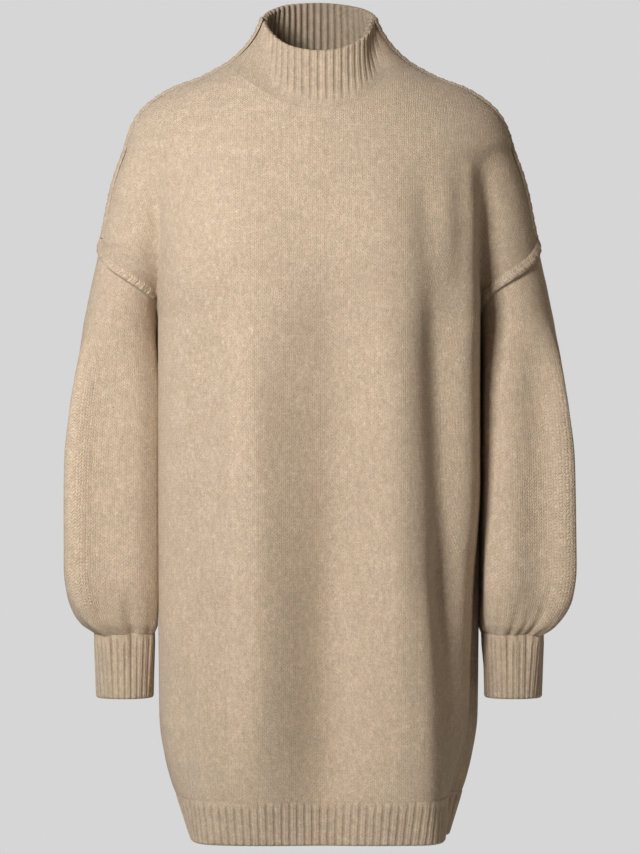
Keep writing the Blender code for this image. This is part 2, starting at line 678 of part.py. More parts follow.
def sheet_of(grid, closed):
    """A bmesh sheet whose vertices are numbered along the grid's rows."""
    rows, columns = grid.shape[:2]
    if closed:
        grid = np.concatenate([grid, grid[:, :1]], axis=1)
    bm = bmesh.new()
    bmesh.ops.create_grid(bm, x_segments=grid.shape[1] - 1, y_segments=rows - 1, size=1)
    number = bm.verts.layers.int.new("number")
    for vert, point in zip(bm.verts[:], grid.reshape(-1, 3)):
        vert.co = point
    bm.verts.index_update()
    first = {}
    for vert in bm.verts:
        row, column = divmod(vert.index, grid.shape[1])
        vert[number] = row * columns + column % columns
        first.setdefault(vert[number], vert)
    doubles = {vert: first[vert[number]] for vert in bm.verts if first[vert[number]] is not vert}
    if doubles:
        bmesh.ops.weld_verts(bm, targetmap=doubles)
    return bm, number


def cloth_wall(name, outer, inner, colour=OATMEAL, closed=False):
    """A closed wall between two grids of points: a sheet, or a tube where closed."""
    bm, number = sheet_of(outer, closed)
    lining = bmesh.ops.extrude_face_region(bm, geom=bm.faces[:])
    flat = inner.reshape(-1, 3)
    for vert in (item for item in lining["geom"] if isinstance(item, bmesh.types.BMVert)):
        vert.co = flat[vert[number]]
    build_mesh(name, bm, colour)


def rolled_seam(name, path, normals, lift, sizes):
    """A rolled seam held by lift above the cloth, along a path of points with the cloth's
    normals. sizes narrow it towards an end."""
    run = unit(np.gradient(path, axis=0))
    normals = unit(normals - run * (normals * run).sum(axis=1)[:, None])
    aside = np.cross(normals, run) * sizes[:, None]
    half = ROLL_WIDTH / 2
    profile = (
        # across, height
        (-half, lift),
        (0.0, lift),
        (half, lift),
        (half * ROLL_WAIST, (lift + ROLL_HEIGHT) * ROLL_WAIST_UP),
        (half * ROLL_CROWN, ROLL_HEIGHT),
        (-half * ROLL_CROWN, ROLL_HEIGHT),
        (-half * ROLL_WAIST, (lift + ROLL_HEIGHT) * ROLL_WAIST_UP),
    )
    top = lift + (ROLL_HEIGHT - lift) * sizes[:, None]
    rings = np.stack([
        path + aside * across + normals * np.minimum(height, top)
        for across, height in profile
    ], axis=1)
    bm, _ = sheet_of(rings, closed=True)
    bmesh.ops.holes_fill(bm, edges=[edge for edge in bm.edges if edge.is_boundary], sides=0)
    build_mesh(name, bm, OATMEAL_SHADE)


def join_normals(normals, columns, base, band_normals):
    """Gives a panel's neckline and the foot of its collar the same normals, halfway
    between the two, so that the walls meet along the seam."""
    at_band = np.linspace(0, measure(base)[-1], band_normals.shape[1])
    for k in range(3):
        normals[0, columns, k] += np.interp(measure(base), at_band, band_normals[0, :, k])
    normals[0, columns] = unit(normals[0, columns])
    for k in range(3):
        band_normals[0, :, k] = np.interp(at_band, measure(base), normals[0, columns, k])
    band_normals[0] = unit(band_normals[0])


def make_front_or_back(face):
    """A body panel with its half of the collar and of the hem. Returns the panel's points
    and normals, and the collar's."""
    points, normals = whole_panel(face)
    columns = slice(MIDDLE_COLUMN - NECK_COLUMNS, MIDDLE_COLUMN + NECK_COLUMNS + 1)
    base = points[0, columns]
    collar, collar_normals = collar_half(face, base)
    join_normals(normals, columns, base, collar_normals)
    collar = step_in(collar, rows=(0,), columns=(0, -1))
    raised = ribbed(collar, collar_normals, flat_ends=True)
    cloth_wall("collar_" + face, raised, collar - WALL * collar_normals)

    hem, hem_normals = hem_half(face, points[-1])
    hem = step_in(hem, rows=(0,), columns=(0, -1))
    cloth_wall("hem_" + face, ribbed(hem, hem_normals), hem - WALL * hem_normals)

    body = step_in(points, rows=(0, -1), columns=(0, -1))
    cloth_wall(face + "_body", body, body - WALL * normals)
    return points, normals, collar, collar_normals


def make_sleeve(name, side, panels):
    """A sleeve, which leaves the armhole edges of both panels, and its cuff."""
    tops = ARMHOLE_TOP_Z + (UNDERARM_Z - ARMHOLE_TOP_Z) * np.array(YOKE_ROWS)
    edge = dict(EDGES)[side]
    seam_normals = {face: panels[face][1][:len(tops), edge] for face in SIGN}
    sleeve, normals = whole_sleeve(side, tops, CUFF_TOP_Z, seam_normals)
    cuff, cuff_normals = cuff_rings(side, sleeve[-1])
    sleeve = step_in(sleeve, rows=(-1,))
    gaps = np.interp(-tops, (-tops[GAP_GROWS_FROM], -CREASE_Z), (SEAM_GAP, CREASE_GAP))
    gaps = np.concatenate([gaps, gaps[-2:0:-1]])[:, None]
    sleeve[0] += gaps * unit(sleeve[1] - sleeve[0])
    cuff = step_in(cuff, rows=(0,))
    cloth_wall("sleeve_" + name, sleeve, sleeve - WALL * normals, closed=True)
    cloth_wall("cuff_" + name, ribbed(cuff, cuff_normals), cuff - WALL * cuff_normals, closed=True)


def make_shoulder_roll(name, side, panels):
    """The rolled seam from the collar's rim down its side and over the shoulder."""
    points, normals, collar, collar_normals = panels["front"]
    edge = dict(EDGES)[side]
    seam = [MIDDLE_COLUMN + side * (NECK_COLUMNS + k) for k in range(SEAM_COLUMNS + 1)]
    path = np.concatenate([collar[:0:-1, edge], points[0, seam]])
    normal = np.concatenate([collar_normals[:0:-1, edge], normals[0, seam]])
    path[:len(collar) - 1, 1] += SEAM_GAP / 2
    path[-1] += (ROLL_WIDTH / 2 + SEAM_GAP) * unit(path[-2] - path[-1])
    rolled_seam("shoulder_roll_" + name, path, normal, SHOULDER_LIFT, np.ones(len(path)))


def make_armhole_roll(name, side, panels):
    """The rolled seam over the arm, from the crease in front to the crease behind."""
    halves = []
    for face in SIGN:
        points, normals = (table[:ROLL_ROWS + 2, dict(EDGES)[side]].copy() for table in panels[face][:2])
        points[-1] = points[-2] + (points[-1] - points[-2]) * ROLL_RUNS_ON
        halves.append(np.concatenate([points, normals], axis=1))
    rows = np.concatenate([halves[0][::-1], halves[1][1:]])
    sizes = np.ones(len(rows))
    sizes[:len(ROLL_ENDS)] = ROLL_ENDS
    sizes[-len(ROLL_ENDS):] = ROLL_ENDS[::-1]
    rolled_seam("armhole_roll_" + name, rows[:, :3], rows[:, 3:], ARMHOLE_LIFT, sizes)


def main():
    for item in list(bpy.data.objects):
        bpy.data.objects.remove(item)
    panels = {face: make_front_or_back(face) for face in SIGN}
    for side, name in ((1, "left"), (-1, "right")):
        make_sleeve(name, side, panels)
        make_shoulder_roll(name, side, panels)
        make_armhole_roll(name, side, panels)


main()
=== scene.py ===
"""Looks of the sweater dress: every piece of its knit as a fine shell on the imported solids.

The shells are worked out from the same sections, seams and folds as the solids, with more
rows and columns: each wale of the plain knit and each rib is raised in the mesh, and the
stitches, the loose fibres and the mixed yarn are in the materials. The map "knit" counts
wales across and courses up each piece. Sizes are in millimetres until build_mesh() turns
them into metres. +Z is up, the front faces -Y and +X is the wearer's left.
"""

import functools
import math

import bmesh
import bpy
import numpy as np
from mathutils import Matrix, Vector


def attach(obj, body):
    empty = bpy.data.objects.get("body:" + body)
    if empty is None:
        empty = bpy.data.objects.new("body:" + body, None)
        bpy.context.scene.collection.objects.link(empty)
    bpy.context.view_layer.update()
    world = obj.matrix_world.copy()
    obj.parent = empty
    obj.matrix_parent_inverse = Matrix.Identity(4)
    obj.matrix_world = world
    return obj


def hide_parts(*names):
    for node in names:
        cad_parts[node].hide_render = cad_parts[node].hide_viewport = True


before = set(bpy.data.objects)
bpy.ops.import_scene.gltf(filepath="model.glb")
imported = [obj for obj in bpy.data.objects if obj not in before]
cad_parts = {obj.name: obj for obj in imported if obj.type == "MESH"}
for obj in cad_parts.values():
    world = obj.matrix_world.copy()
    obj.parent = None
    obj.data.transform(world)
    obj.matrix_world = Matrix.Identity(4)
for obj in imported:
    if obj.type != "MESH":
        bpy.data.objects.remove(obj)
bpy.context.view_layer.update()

# The cloth and its seams
WALL = 3.0              # thickness of the knit
CREASE_GAP = 1.7        # between body and sleeve where the armhole seam turns under the arm
SEAM_GAP = 0.3          # between sleeve and body along the armhole

# Heights of the main lines
NECK_SIDE_Z = 6.0       # where the shoulder seam meets the collar
ARMHOLE_TOP_Z = -193.0  # armhole seam on the outside of the arm
ARMHOLE_POWER = 1.18    # how the seam's way round the arm grows with its way down
CREASE_Z = -264.0       # where that seam runs into the crease under the arm
ROLL_END_Z = -262.0     # where its rolled edge ends
UNDERARM_Z = -285.0
HEM_TOP_Z, HEM_Z = -827.0, -877.0
CUFF_TOP_Z, CUFF_Z = -645.0, -718.0

# Neck
NECK_HALF = 109.0       # from the axis to the shoulder seam
NECKLINE = {"front": (-52.0, 2.4), "back": (0.0, 2.0)}     # lowest height, power of its drop
RIM_HALF, RIM_DEEP = 65.0, 61.0     # half the collar's rim across, and from front to back
RIM_MIDDLE = -11.0      # Y of its centre
RIM_SIDE_Z = 62.0
RIM_RISE = {"front": -44.5, "back": 23.0}   # over its sides
FLARE = (0.2, 0.2, 0.59)    # the collar's bend in X, Y and Z, as shares of the way from rim to base

# The knit
HANGING = 100.0         # wales this near the centre line hang straight down
WALE = 4.3              # width of a wale of the body
COURSE = 3.3            # height of one of its stitches
WALE_CUTS = 3           # columns of the mesh in each wale
WALE_RELIEF = (0.14, -0.07, -0.07)  # height of those columns over the cloth's mean
SLEEVE_WALES = 72       # round a sleeve
SLEEVE_COURSE = 3.8

# Ribs: how many round each band and how many columns of the mesh each has
COLLAR_RIBS, COLLAR_CUTS = 24, 12   # of each half
HEM_RIBS, HEM_CUTS = 56, 8          # of each half
CUFF_RIBS, CUFF_CUTS = 30, 8
RIB_HEIGHT = 0.95
RIB_SINK = 0.3          # how deep the valleys lie in the cloth
RIB_BACK = 1.3          # how far the valleys stand out on the inside
RIB_GROOVE = 0.25       # share of the height lost between the two legs of a rib's stitches
RIB_GROOVE_WIDTH = 0.075    # in ribs
RIB_BROAD, RIB_NARROW = 0.6, 1.5    # powers of their rounding, outside and inside
BAND_COURSE = 3.4
BAND_STARTS = {         # the share of their height that ribs start with, and over what they grow
    "collar": {"start_share": 0.0, "start_depth": 26.0, "wall": 4.5, "back": 2.2},
    "hem": {"start_share": 0.1, "start_depth": 6.0},
    "cuff": {"start_share": 0.1, "start_depth": 7.0},
}
COLLAR_PLAIN = ((-1, 88.0, 2.2), (1, 56.0, 2.6))    # side, depth of plain knit at its seam, power

# How finely the panels are divided
YOKE_SHARES = np.linspace(0, 1, 40) ** 1.5
SKIRT_ROWS, SLEEVE_ROWS = 56, 60
COLLAR_ROWS, HEM_ROWS, CUFF_ROWS = 30, 15, 20
SECTION_SAMPLES = 201
EDGE_FADE = 14.0        # folds sink into the seam over this distance from a panel's edge
SLEEVE_SPARE = 2.0      # folds that would make a sleeve wider level off over this height
SMOOTH_ANGLE = 65.0

# Grooves along the seams: distance from the seam, width, depth (with a minus, a ridge)
ROLL_GROOVE = {"front": (12.0, 2.4, 0.4), "back": (5.5, 2.4, 0.4)}
YOKE_RIDGE = (4.0, 6.0, -1.3)
SIDE_GROOVE = (0.0, 2.5, 0.9)
HEM_GROOVE = (0.0, 2.5, 0.6)
ARMHOLE_GROOVE = (7.0, 2.2, 1.6)
CUFF_GROOVE = (0.0, 3.0, 0.6)

# Sections of the body: the torso's reach from the axis, the power of its rounded outline
# (2 is an ellipse), and the radius over which its crease with the arm is smoothed.
BODY_COLUMNS = ("z", "half_width", "front", "back", "square", "soft")
BODY = (
    (12,      95,    62,   55,  1.7,   0),
    (6,      109,    66,   58,  1.7,   0),
    (-8,     136,    74,   65,  1.7,   2),
    (-21,    170,    81,   71,  1.7,   4),
    (-35,    192,    88,   77, 1.75,   6),
    (-48,  205.5,    94,   82, 1.85,   8),
    (-62,    214,   100,   86, 1.95,  10),
    (-75,    219,   105,   90, 2.05,  12),
    (-88,    222,   110,   93, 2.15,  14),
    (-102,   209, 114.5, 95.5, 2.22,  12),
    (-116,   199,   119,   98, 2.45,  10),
    (-143,   190,   127,  102, 2.65,   7),
    (-170, 186.2,   133,  104,  2.8,   5),
    (-193, 184.4,   137,  105,  2.9, 3.5),
    (-230, 183.8,   141,  106,    3,   3),
    (-264, 184.8,   142,  106,    3,   2),
    (-285, 184.3,   141,  105,    3,   0),
    (-400, 184.3,   137,  103,    3,   0),
    (-500, 184.3,   135,  106,    3,   0),
    (-600,   184,   135,  113,    3,   0),
    (-665, 183.5,   135,  116,    3,   0),
    (-740, 182.5,   132,  115,  3.2,   0),
    (-785,   176,   128,  112,  3.5,   0),
    (-822, 166.5,   123,  107,  3.9,   0),
    (-850, 156.5,   118,  103,  4.4,   0),
    (-877, 149.5,   115,   99,  4.8,   0),
)

# Sections of the arm: its reaches from the body's axis, half its depth, and the Y of its
# centre, which swings forward at the cuff.
ARM_COLUMNS = ("z", "outer", "inner", "deep", "middle")
ARM = (
    (-88,  222.5,   136,   58,   0),
    (-102, 227.7,   137, 54.5,   0),
    (-116,   233,   139,   54,   0),
    (-143, 240.5, 142.5, 53.5,   0),
    (-170, 245.7,   147,   54,   0),
    (-193, 250.5,   152, 54.5,   0),
    (-230, 258.2, 164.5, 54.5,   0),
    (-248, 262.3, 171.5,   54,   0),
    (-264, 265.4, 179.3, 53.5,   0),
    (-275, 267.6, 183.1, 53.5,   0),
    (-285, 269.7, 184.2, 53.5,   0),
    (-300,   272, 186.2, 53.5,   1),
    (-340,   277, 186.8, 52.5,   3),
    (-391, 284.5,   187, 54.5,   4),
    (-446, 290.5,   187,   56,   3),
    (-500, 291.5,   187,   57,   1),
    (-568,   292,   187, 56.5,  -3),
    (-600, 288.5,   187, 53.5,  -5),
    (-622, 281.5, 185.8,   48,  -7),
    (-636, 271.5, 185.6,   43,  -8),
    (-645, 258.5, 188.6,   37,  -8),
    (-660,   256,   190,   36,  -9),
    (-718,   255,   190,   35, -12),
)

# Power of the arm's rounded outline at these depths below the neck
SLEEVE_SQUARE = ((88, 200, 285, 380, 590, 640), (1.75, 1.8, 2.1, 4.0, 4.0, 2.4))

# Folds of the body. Each follows a line from (x_high, z_high) to (x_low, z_low), rises or
# with a minus sinks by rise, and fades out at both ends.
# face, x_high, z_high, x_low, z_low, width, rise, fade
BODY_FOLDS = (
    ("front",  -82, -110,  -82, -270,   46,   6,  80),  # bust
    ("front",   82, -110,   82, -270,   46,   6,  80),
    ("front",  -74, -225,  -70, -880,   31,  13, 170),  # ridge beside the middle
    ("front",   16, -190,   14, -900,   42, -14, 130),  # middle trough
    ("front",    8, -380,    2, -990,   36, -13, 260),
    ("front",   66, -260,   70, -900,   60,  -5, 160),
    ("front",   82, -240,   98, -900,   26,   7, 150),  # the front turns away here
    ("front",  129, -170,  156, -730,   21, -17, 170),
    ("front",  158, -470,  172, -960,   26, -17, 140),
    ("front",  120, -560,  122, -960,   16,   5, 110),
    ("front",  165, -230,  174, -700, 10.5,   7, 110),
    ("front",  169,  -90,  168, -340,  9.5,   7,  80),
    ("front",  118,  -80,  122, -260,   18,  -4,  90),
    ("front",  142,  -90,  146, -280,   15,   3,  80),
    ("front", -158, -640, -146, -930,   13,  -6,  90),
    ("front", -128, -260, -136, -620,   18,  -4, 120),
    ("back",   -70, -150,  -64, -860,   28,   6, 160),
    ("back",    58, -180,   70, -860,   26,   7, 160),
    ("back",    -4, -260,    6, -900,   24,  -8, 160),
    ("back",  -126, -300, -140, -900,   17,  -9, 140),
    ("back",   120, -320,  134, -860,   17,  -7, 140),
)

# Folds of the sleeves. Angles run round the arm in degrees from its outside, 0, over the
# front, 90, to the body, 180, and down to -90 at the back.
# side, angle_high, z_high, angle_low, z_low, width, rise, fade
SLEEVE_FOLDS = (
    (1,    99, -270,  108, -690, 19.5, 7.6, 110),
    (1,    47, -270,   49, -690,   17, 8.6, 110),
    (1,   123, -270,  122, -690, 20.8, 5.6, 110),
    (1,    39, -270,   46, -690, 19.8, 4.7, 110),
    (1,   -70, -290,  -84, -660,   22,  -7, 110),
    (1,  -128, -330, -122, -660,   18,   3, 110),
    (1,    20, -560,   24, -668,   14,  -4,  50),  # gathers over the cuff
    (1,   116, -580,  112, -668,   13,  -3,  40),
    (1,   -30, -550,  -26, -668,   15,  -4,  50),
    (1,  -152, -262, -152, -690,   14, 2.8,  40),
    (1,  -152, -550, -152, -700,   14, 2.2,  50),
    (-1, -152, -262, -152, -690,   14, 2.8,  40),
    (-1,   45, -270,   61, -690, 14.8, 8.9, 110),
    (-1,  149, -270,  152, -690,   12, 6.4, 110),
    (-1,  -80, -290,  -70, -660,   22,  -7, 110),
    (-1,  -35, -540,  -32, -668,   15,  -4,  50),
    (-1,  112, -580,  114, -668,   13,  -4,  40),
)


def smooth_curve(knots, values, at):
    """A monotone cubic through the values, for knots in rising order."""
    step = np.diff(knots)
    slope = np.diff(values) / step
    product = slope[:-1] * slope[1:]
    total = slope[:-1] + slope[1:]
    inner = np.where(product > 0, 2 * product / np.where(total == 0, 1, total), 0)
    tangent = np.concatenate([slope[:1], inner, slope[-1:]])
    i = np.clip(np.searchsorted(knots, at) - 1, 0, len(step) - 1)
    t = np.clip((at - knots[i]) / step[i], 0, 1)
    start = (1 + 2 * t) * (1 - t) ** 2 * values[i] + t * (1 - t) ** 2 * step[i] * tangent[i]
    end = t * t * (3 - 2 * t) * values[i + 1] + t * t * (t - 1) * step[i] * tangent[i + 1]
    return start + end


def read(rows, columns, name, z):
    """The value of one column of a table at the height z."""
    table = np.array(rows, float)[::-1]
    return smooth_curve(table[:, 0], table[:, columns.index(name)], np.asarray(z, float))


body_size = functools.partial(read, BODY, BODY_COLUMNS)
arm_size = functools.partial(read, ARM, ARM_COLUMNS)


def soft_step(t):
    t = np.clip(t, 0, 1)
    return t * t * (3 - 2 * t)


def fade_between(z, z_high, z_low, fade):
    """1 inside a stretch of heights, falling softly to 0 at its two ends."""
    return soft_step((z_high - z) / fade) * soft_step((z - z_low) / fade)


def measure(path):
    """Distance along a path of points, from its start."""
    return np.concatenate([[0], np.cumsum(np.linalg.norm(np.diff(path, axis=0), axis=1))])


def between_knots(values, knots, at):
    """Rows of values, given at knots, at the places between them."""
    return np.stack([np.interp(at, knots, column) for column in values.T], axis=1)


def along(path, distances):
    """Points of a path at these distances from its start."""
    return between_knots(path, measure(path), distances)


def even(path, count):
    """The same path, as points evenly spaced along it."""
    return along(path, np.linspace(0, measure(path)[-1], count))


# ---- sections
# A half section lies in the plane (x, depth), from the centre line (0, front or back) to
# the side, with depth measured outwards towards that face.

def torso_curve(z, face, angles):
    """Rounded outline of the torso: angle 0 is the centre line, a right angle the side."""
    half, depth, power = body_size("half_width", z), body_size(face, z), body_size("square", z)
    reach = (np.sin(angles) / half) ** power + (np.cos(angles) / depth) ** power
    reach = reach ** (-1 / power)
    return np.stack([reach * np.sin(angles), reach * np.cos(angles)], axis=1)


def arm_shape(z):
    """The arm's section: its centre and radius in X, half its depth, its outline's power."""
    outer, inner, deep = (arm_size(name, z) for name in ("outer", "inner", "deep"))
    radius = (outer - inner) / 2
    return outer - radius, radius, deep, np.interp(-z, *SLEEVE_SQUARE)


def arm_curve(z, angles):
    """Outline of the arm: angle 0 is its outside, a straight angle the side to the body."""
    centre, radius, deep, square = arm_shape(z)
    across, ahead = np.cos(angles), np.sin(angles)
    reach = (abs(across) ** square + abs(ahead) ** square) ** (-1 / square)
    return np.stack([centre + radius * reach * across, deep * reach * ahead], axis=1)


@functools.lru_cache(maxsize=None)
def torso_meets_arm(z, face):
    """Angles on the torso's and the arm's outlines where the two cross, or None."""
    centre, radius, deep, square = arm_shape(z)

    def outside_arm(angle):
        x, depth = torso_curve(z, face, np.array([angle]))[0]
        return abs((x - centre) / radius) ** square + abs(depth / deep) ** square > 1

    low, high = 0.2, math.pi / 2 - 1e-9
    if outside_arm(high):
        return None
    for _ in range(40):
        middle = (low + high) / 2
        low, high = (middle, high) if outside_arm(middle) else (low, middle)
    x, depth = torso_curve(z, face, np.array([low]))[0]
    return low, math.atan2(depth / deep, (x - centre) / radius)


def armhole_angle(z):
    """Angle round the arm that the armhole seam has reached at the height z."""
    crease = torso_meets_arm(CREASE_Z, "front")[1]
    share = np.clip((ARMHOLE_TOP_Z - z) / (ARMHOLE_TOP_Z - CREASE_Z), 0, 1)
    return crease * share ** ARMHOLE_POWER


def blurred(values, step, reach, radius):
    """Rows of values, step apart, each mixed with its neighbours up to reach rows away."""
    weights = np.exp(-0.5 * (np.arange(-reach, reach + 1) * step / radius) ** 2)
    weights /= weights.sum()
    return np.stack([np.convolve(column, weights, "valid") for column in values.T], axis=1)


def soften(path, radius):
    """Smooths an evenly spaced half section, which goes on mirrored past both its ends."""
    step = measure(path)[1]
    if radius < step:
        return path
    reach = int(3 * radius / step)
    before = path[1:reach + 1][::-1] * (-1, 1)
    after = path[-reach - 1:-1][::-1] * (1, -1)
    return blurred(np.concatenate([before, path, after]), step, reach, radius)


def fold_lift(folds, own, z, place):
    """How far the folds of one face or side lift the cloth at these places across it."""
    lift = np.zeros_like(place)
    for on, high, z_high, low, z_low, width, rise, fade in folds:
        if on == own:
            share = (z_high - z) / (z_high - z_low)
            across = (place - (high + (low - high) * share)) / width
            lift += rise * fade_between(z, z_high, z_low, fade) * np.exp(-across ** 2)
    return lift


def outward(path):
    """Unit normals of a half section in its plane."""
    run = np.gradient(path, axis=0)
    run /= np.linalg.norm(run, axis=1)[:, None]
    return np.stack([-run[:, 1], run[:, 0]], axis=1)


def half_section(z, face):
    """The cloth's outline at a height, from the centre line to the side, and the share of
    its length at which the body panel ends."""
    crossing = torso_meets_arm(z, face) if UNDERARM_Z < z < ARM[0][0] else None
    if crossing is None:
        return even(torso_curve(z, face, np.linspace(0, math.pi / 2, 181)), SECTION_SAMPLES), 1.0
    torso = torso_curve(z, face, np.linspace(0, crossing[0], 121))
    arm = arm_curve(z, np.linspace(crossing[1], 0, 121))
    end = measure(torso)[-1] + measure(arm)[-1]
    if z <= CREASE_Z:
        return np.concatenate([torso, arm[1:]]), measure(torso)[-1] / end
    rest = measure(arm_curve(z, np.linspace(0, float(armhole_angle(z)), 61)))[-1]
    path = even(np.concatenate([torso, arm[1:]]), SECTION_SAMPLES)
    return soften(path, float(body_size("soft", z))), 1 - rest / end


def panel_outline(z, face, side):
    """Half section of a body panel, with its folds: from the centre line to its edge."""
    path, share = half_section(z, face)
    path = along(path, np.linspace(0, share * measure(path)[-1], SECTION_SAMPLES))
    rim = soft_step((measure(path)[-1] - measure(path)) / EDGE_FADE)
    return path + outward(path) * (fold_lift(BODY_FOLDS, face, z, side * path[:, 0]) * rim)[:, None]


def arm_outline(z, face):
    """Half of the sleeve's section, from the outside of the arm to the armhole seam or, below
    the underarm, to the body's side."""
    if z <= UNDERARM_Z:
        return even(arm_curve(z, np.linspace(0, math.pi, 121)), SECTION_SAMPLES)
    path, share = half_section(z, face)
    whole = measure(path)[-1]
    return along(path, np.linspace(whole, share * whole, SECTION_SAMPLES))


# ---- body panels

LEVELS = np.concatenate([
    np.arange(NECK_SIDE_Z, -60, -1),
    np.arange(-60, UNDERARM_Z - 1, -3),
    np.arange(UNDERARM_Z - 2, HEM_Z - 1, -5),
    [HEM_Z],
])
SIGN = {"front": -1, "back": 1}
SIDE_COLUMN = {-1: 0, 1: -1}    # the column of a panel at its right and its left edge


def unit(vectors):
    vectors = np.asarray(vectors, float)
    return vectors / np.maximum(np.linalg.norm(vectors, axis=-1, keepdims=True), 1e-9)


def neckline_height(x, face):
    """Height of the neckline at the distance x from the axis."""
    low, power = NECKLINE[face]
    cosine = np.sqrt(np.clip(1 - (x / NECK_HALF) ** 2, 0, 1))
    return NECK_SIDE_Z - (NECK_SIDE_Z - low) * cosine ** power


def shoulder_reach(z):
    """Distance of the shoulder seam from the axis."""
    z = np.asarray(z, float)
    return np.where(z > ARM[0][0], body_size("half_width", z), arm_size("outer", z))


def read_columns(table, levels, z):
    """Points of a [level, column] table at the heights z[row, column]."""
    i = np.clip(np.searchsorted(-levels, -z) - 1, 0, len(levels) - 2)
    share = np.clip((levels[i] - z) / (levels[i] - levels[i + 1]), 0, 1)[..., None]
    column = np.arange(z.shape[1])[None, :]
    return table[i, column] * (1 - share) + table[i + 1, column] * share


def half_panel(face, side):
    """Half of the front or the back from the centre line to its edge: its points
    [row, column], each column's flat distance from the centre line, and which columns end at
    the shoulder seam. Wales past HANGING keep their distance along the cloth."""
    outlines = []
    for z in LEVELS:
        path = panel_outline(z, face, side)
        length = measure(path)
        near = slice(int(np.argmax(path[:, 0] >= HANGING)) + 1)
        outlines.append((path, length, near, np.interp(HANGING, path[near, 0], length[near])))
    rest = np.array([length[-1] - start for _, length, _, start in outlines])
    widest = float(np.interp(-ARMHOLE_TOP_Z, -LEVELS, rest))
    neck = HANGING + rest[0]
    flats = np.arange(0, HANGING + widest - WALE / WALE_CUTS, WALE / WALE_CUTS)
    flats = np.append(flats, HANGING + widest)
    flats[np.argmin(abs(flats - neck))] = neck

    columns = []
    for z, spare, (path, length, near, start) in zip(LEVELS, rest, outlines):
        stretch = 1 if z >= ARMHOLE_TOP_Z else spare / widest
        reach = np.where(flats <= HANGING, np.interp(flats, path[near, 0], length[near]),
                         start + (flats - HANGING) * stretch)
        columns.append(along(path, np.minimum(reach, length[-1])))

    upper = LEVELS >= ARMHOLE_TOP_Z
    seam_top = np.interp(flats - HANGING, np.maximum.accumulate(rest[upper]), LEVELS[upper])
    neck_end = neckline_height(HANGING, face)
    corner = neck_end + (NECK_SIDE_Z - neck_end) * (flats - HANGING) / (neck - HANGING)
    tops = np.where(flats < neck, corner, seam_top)
    tops = np.where(flats <= HANGING, neckline_height(flats, face), tops)
    yoke = tops + (UNDERARM_Z - tops) * YOKE_SHARES[:, None]
    skirt = np.linspace(UNDERARM_Z, HEM_TOP_Z, SKIRT_ROWS)[1:, None] * np.ones(len(flats))
    z = np.concatenate([yoke, skirt])
    points = read_columns(np.array(columns), LEVELS, z)
    points = np.concatenate([points, z[..., None]], axis=2)
    on_seam = flats >= neck
    points[0, on_seam, 0] = shoulder_reach(tops[on_seam])
    points[0, on_seam, 1] = 0
    return points * (side, SIGN[face], 1), flats, on_seam


def grid_normals(points, closed=False):
    """Normals of a grid whose columns run to +X in front, for the back turned round."""
    if closed:
        points = np.concatenate([points[:, -1:], points, points[:, :1]], axis=1)
    normals = unit(np.cross(np.gradient(points, axis=1), np.gradient(points, axis=0)))
    return normals[:, 1:-1] if closed else normals


def from_edge(points, axis):
    """Distance of each point of a grid from its first row (0) or its first column (1)."""
    steps = np.linalg.norm(np.diff(points, axis=axis), axis=2)
    start = np.zeros_like(steps[:1] if axis == 0 else steps[:, :1])
    return np.concatenate([start, np.cumsum(steps, axis=axis)], axis=axis)


def whole_panel(face):
    """A body panel from -X to +X: its points, normals, flat places, and which columns end
    at the shoulder seam."""
    right, left = (half_panel(face, side) for side in (-1, 1))
    points = np.concatenate([right[0][:, :0:-1], left[0]], axis=1)
    flats = np.concatenate([-right[1][:0:-1], left[1]])
    on_seam = np.concatenate([right[2][:0:-1], left[2]])
    normals = grid_normals(points) * SIGN[face]
    z = points[0, on_seam, 2]
    slope = (shoulder_reach(z - 1) - shoulder_reach(z + 1)) / 2
    normals[0, on_seam] = unit(np.stack([np.sign(points[0, on_seam, 0]), 0 * z, slope], axis=1))
    normals[len(YOKE_SHARES) - 1:, [0, -1], 1] = 0
    return points, unit(normals), flats, on_seam


def dip(distance, middle, width, depth):
    """Relief of a groove along a seam."""
    return -depth * np.exp(-((distance - middle) / width) ** 2)


def wale_relief(points, middle=0):
    """Height of the wales over a grid of points, counted from its middle column."""
    wales = abs(np.arange(points.shape[1]) - middle) % WALE_CUTS
    return np.array(WALE_RELIEF)[wales] + 0 * points[..., 0]


def panel_relief(points, on_seam, flats, face):
    """Height of the wales and of the grooves beside the seams over a body panel."""
    relief = wale_relief(points, int(np.argmin(abs(flats))))
    down = from_edge(points, 0)
    relief[:, on_seam] += dip(down, *ROLL_GROOVE[face])[:, on_seam]
    yoke = len(YOKE_SHARES)
    for across in (from_edge(points, 1), from_edge(points[:, ::-1], 1)[:, ::-1]):
        relief[:yoke] += dip(across[:yoke], *YOKE_RIDGE)
        relief[yoke:] += dip(across[yoke:], *SIDE_GROOVE)
    return relief + dip(down[-1] - down, *HEM_GROOVE)


# ---- sleeves

# Small gathers where a sleeve is drawn in to its cuff: angle, width, depth, height
GATHERS = (
    (-166, 7, 1.2, 40), (-141, 6, 1.2, 55), (-109, 8, 3, 45), (-72, 6, 2.4, 60),
    (-48, 7, 1.8, 35), (-12, 6, 2.8, 50), (14, 7, 2, 38), (37, 6, 2.8, 58),
    (54, 5, 2.2, 30), (69, 6, 3.4, 66), (84, 5, 2, 36), (101, 6, 3.2, 50),
    (122, 6, 2.4, 34), (139, 7, 2.8, 52), (158, 7, 2, 36),
)


def gathers(side, degrees, z):
    """How far the small gathers sink a sleeve's cloth above its cuff."""
    lift = np.zeros_like(z)
    for angle, width, depth, height in GATHERS:
        across = (degrees - side * angle + 180) % 360 - 180
        lift -= depth * np.exp(-(across / width) ** 2) * soft_step((CUFF_TOP_Z + height - z) / height)
    return lift


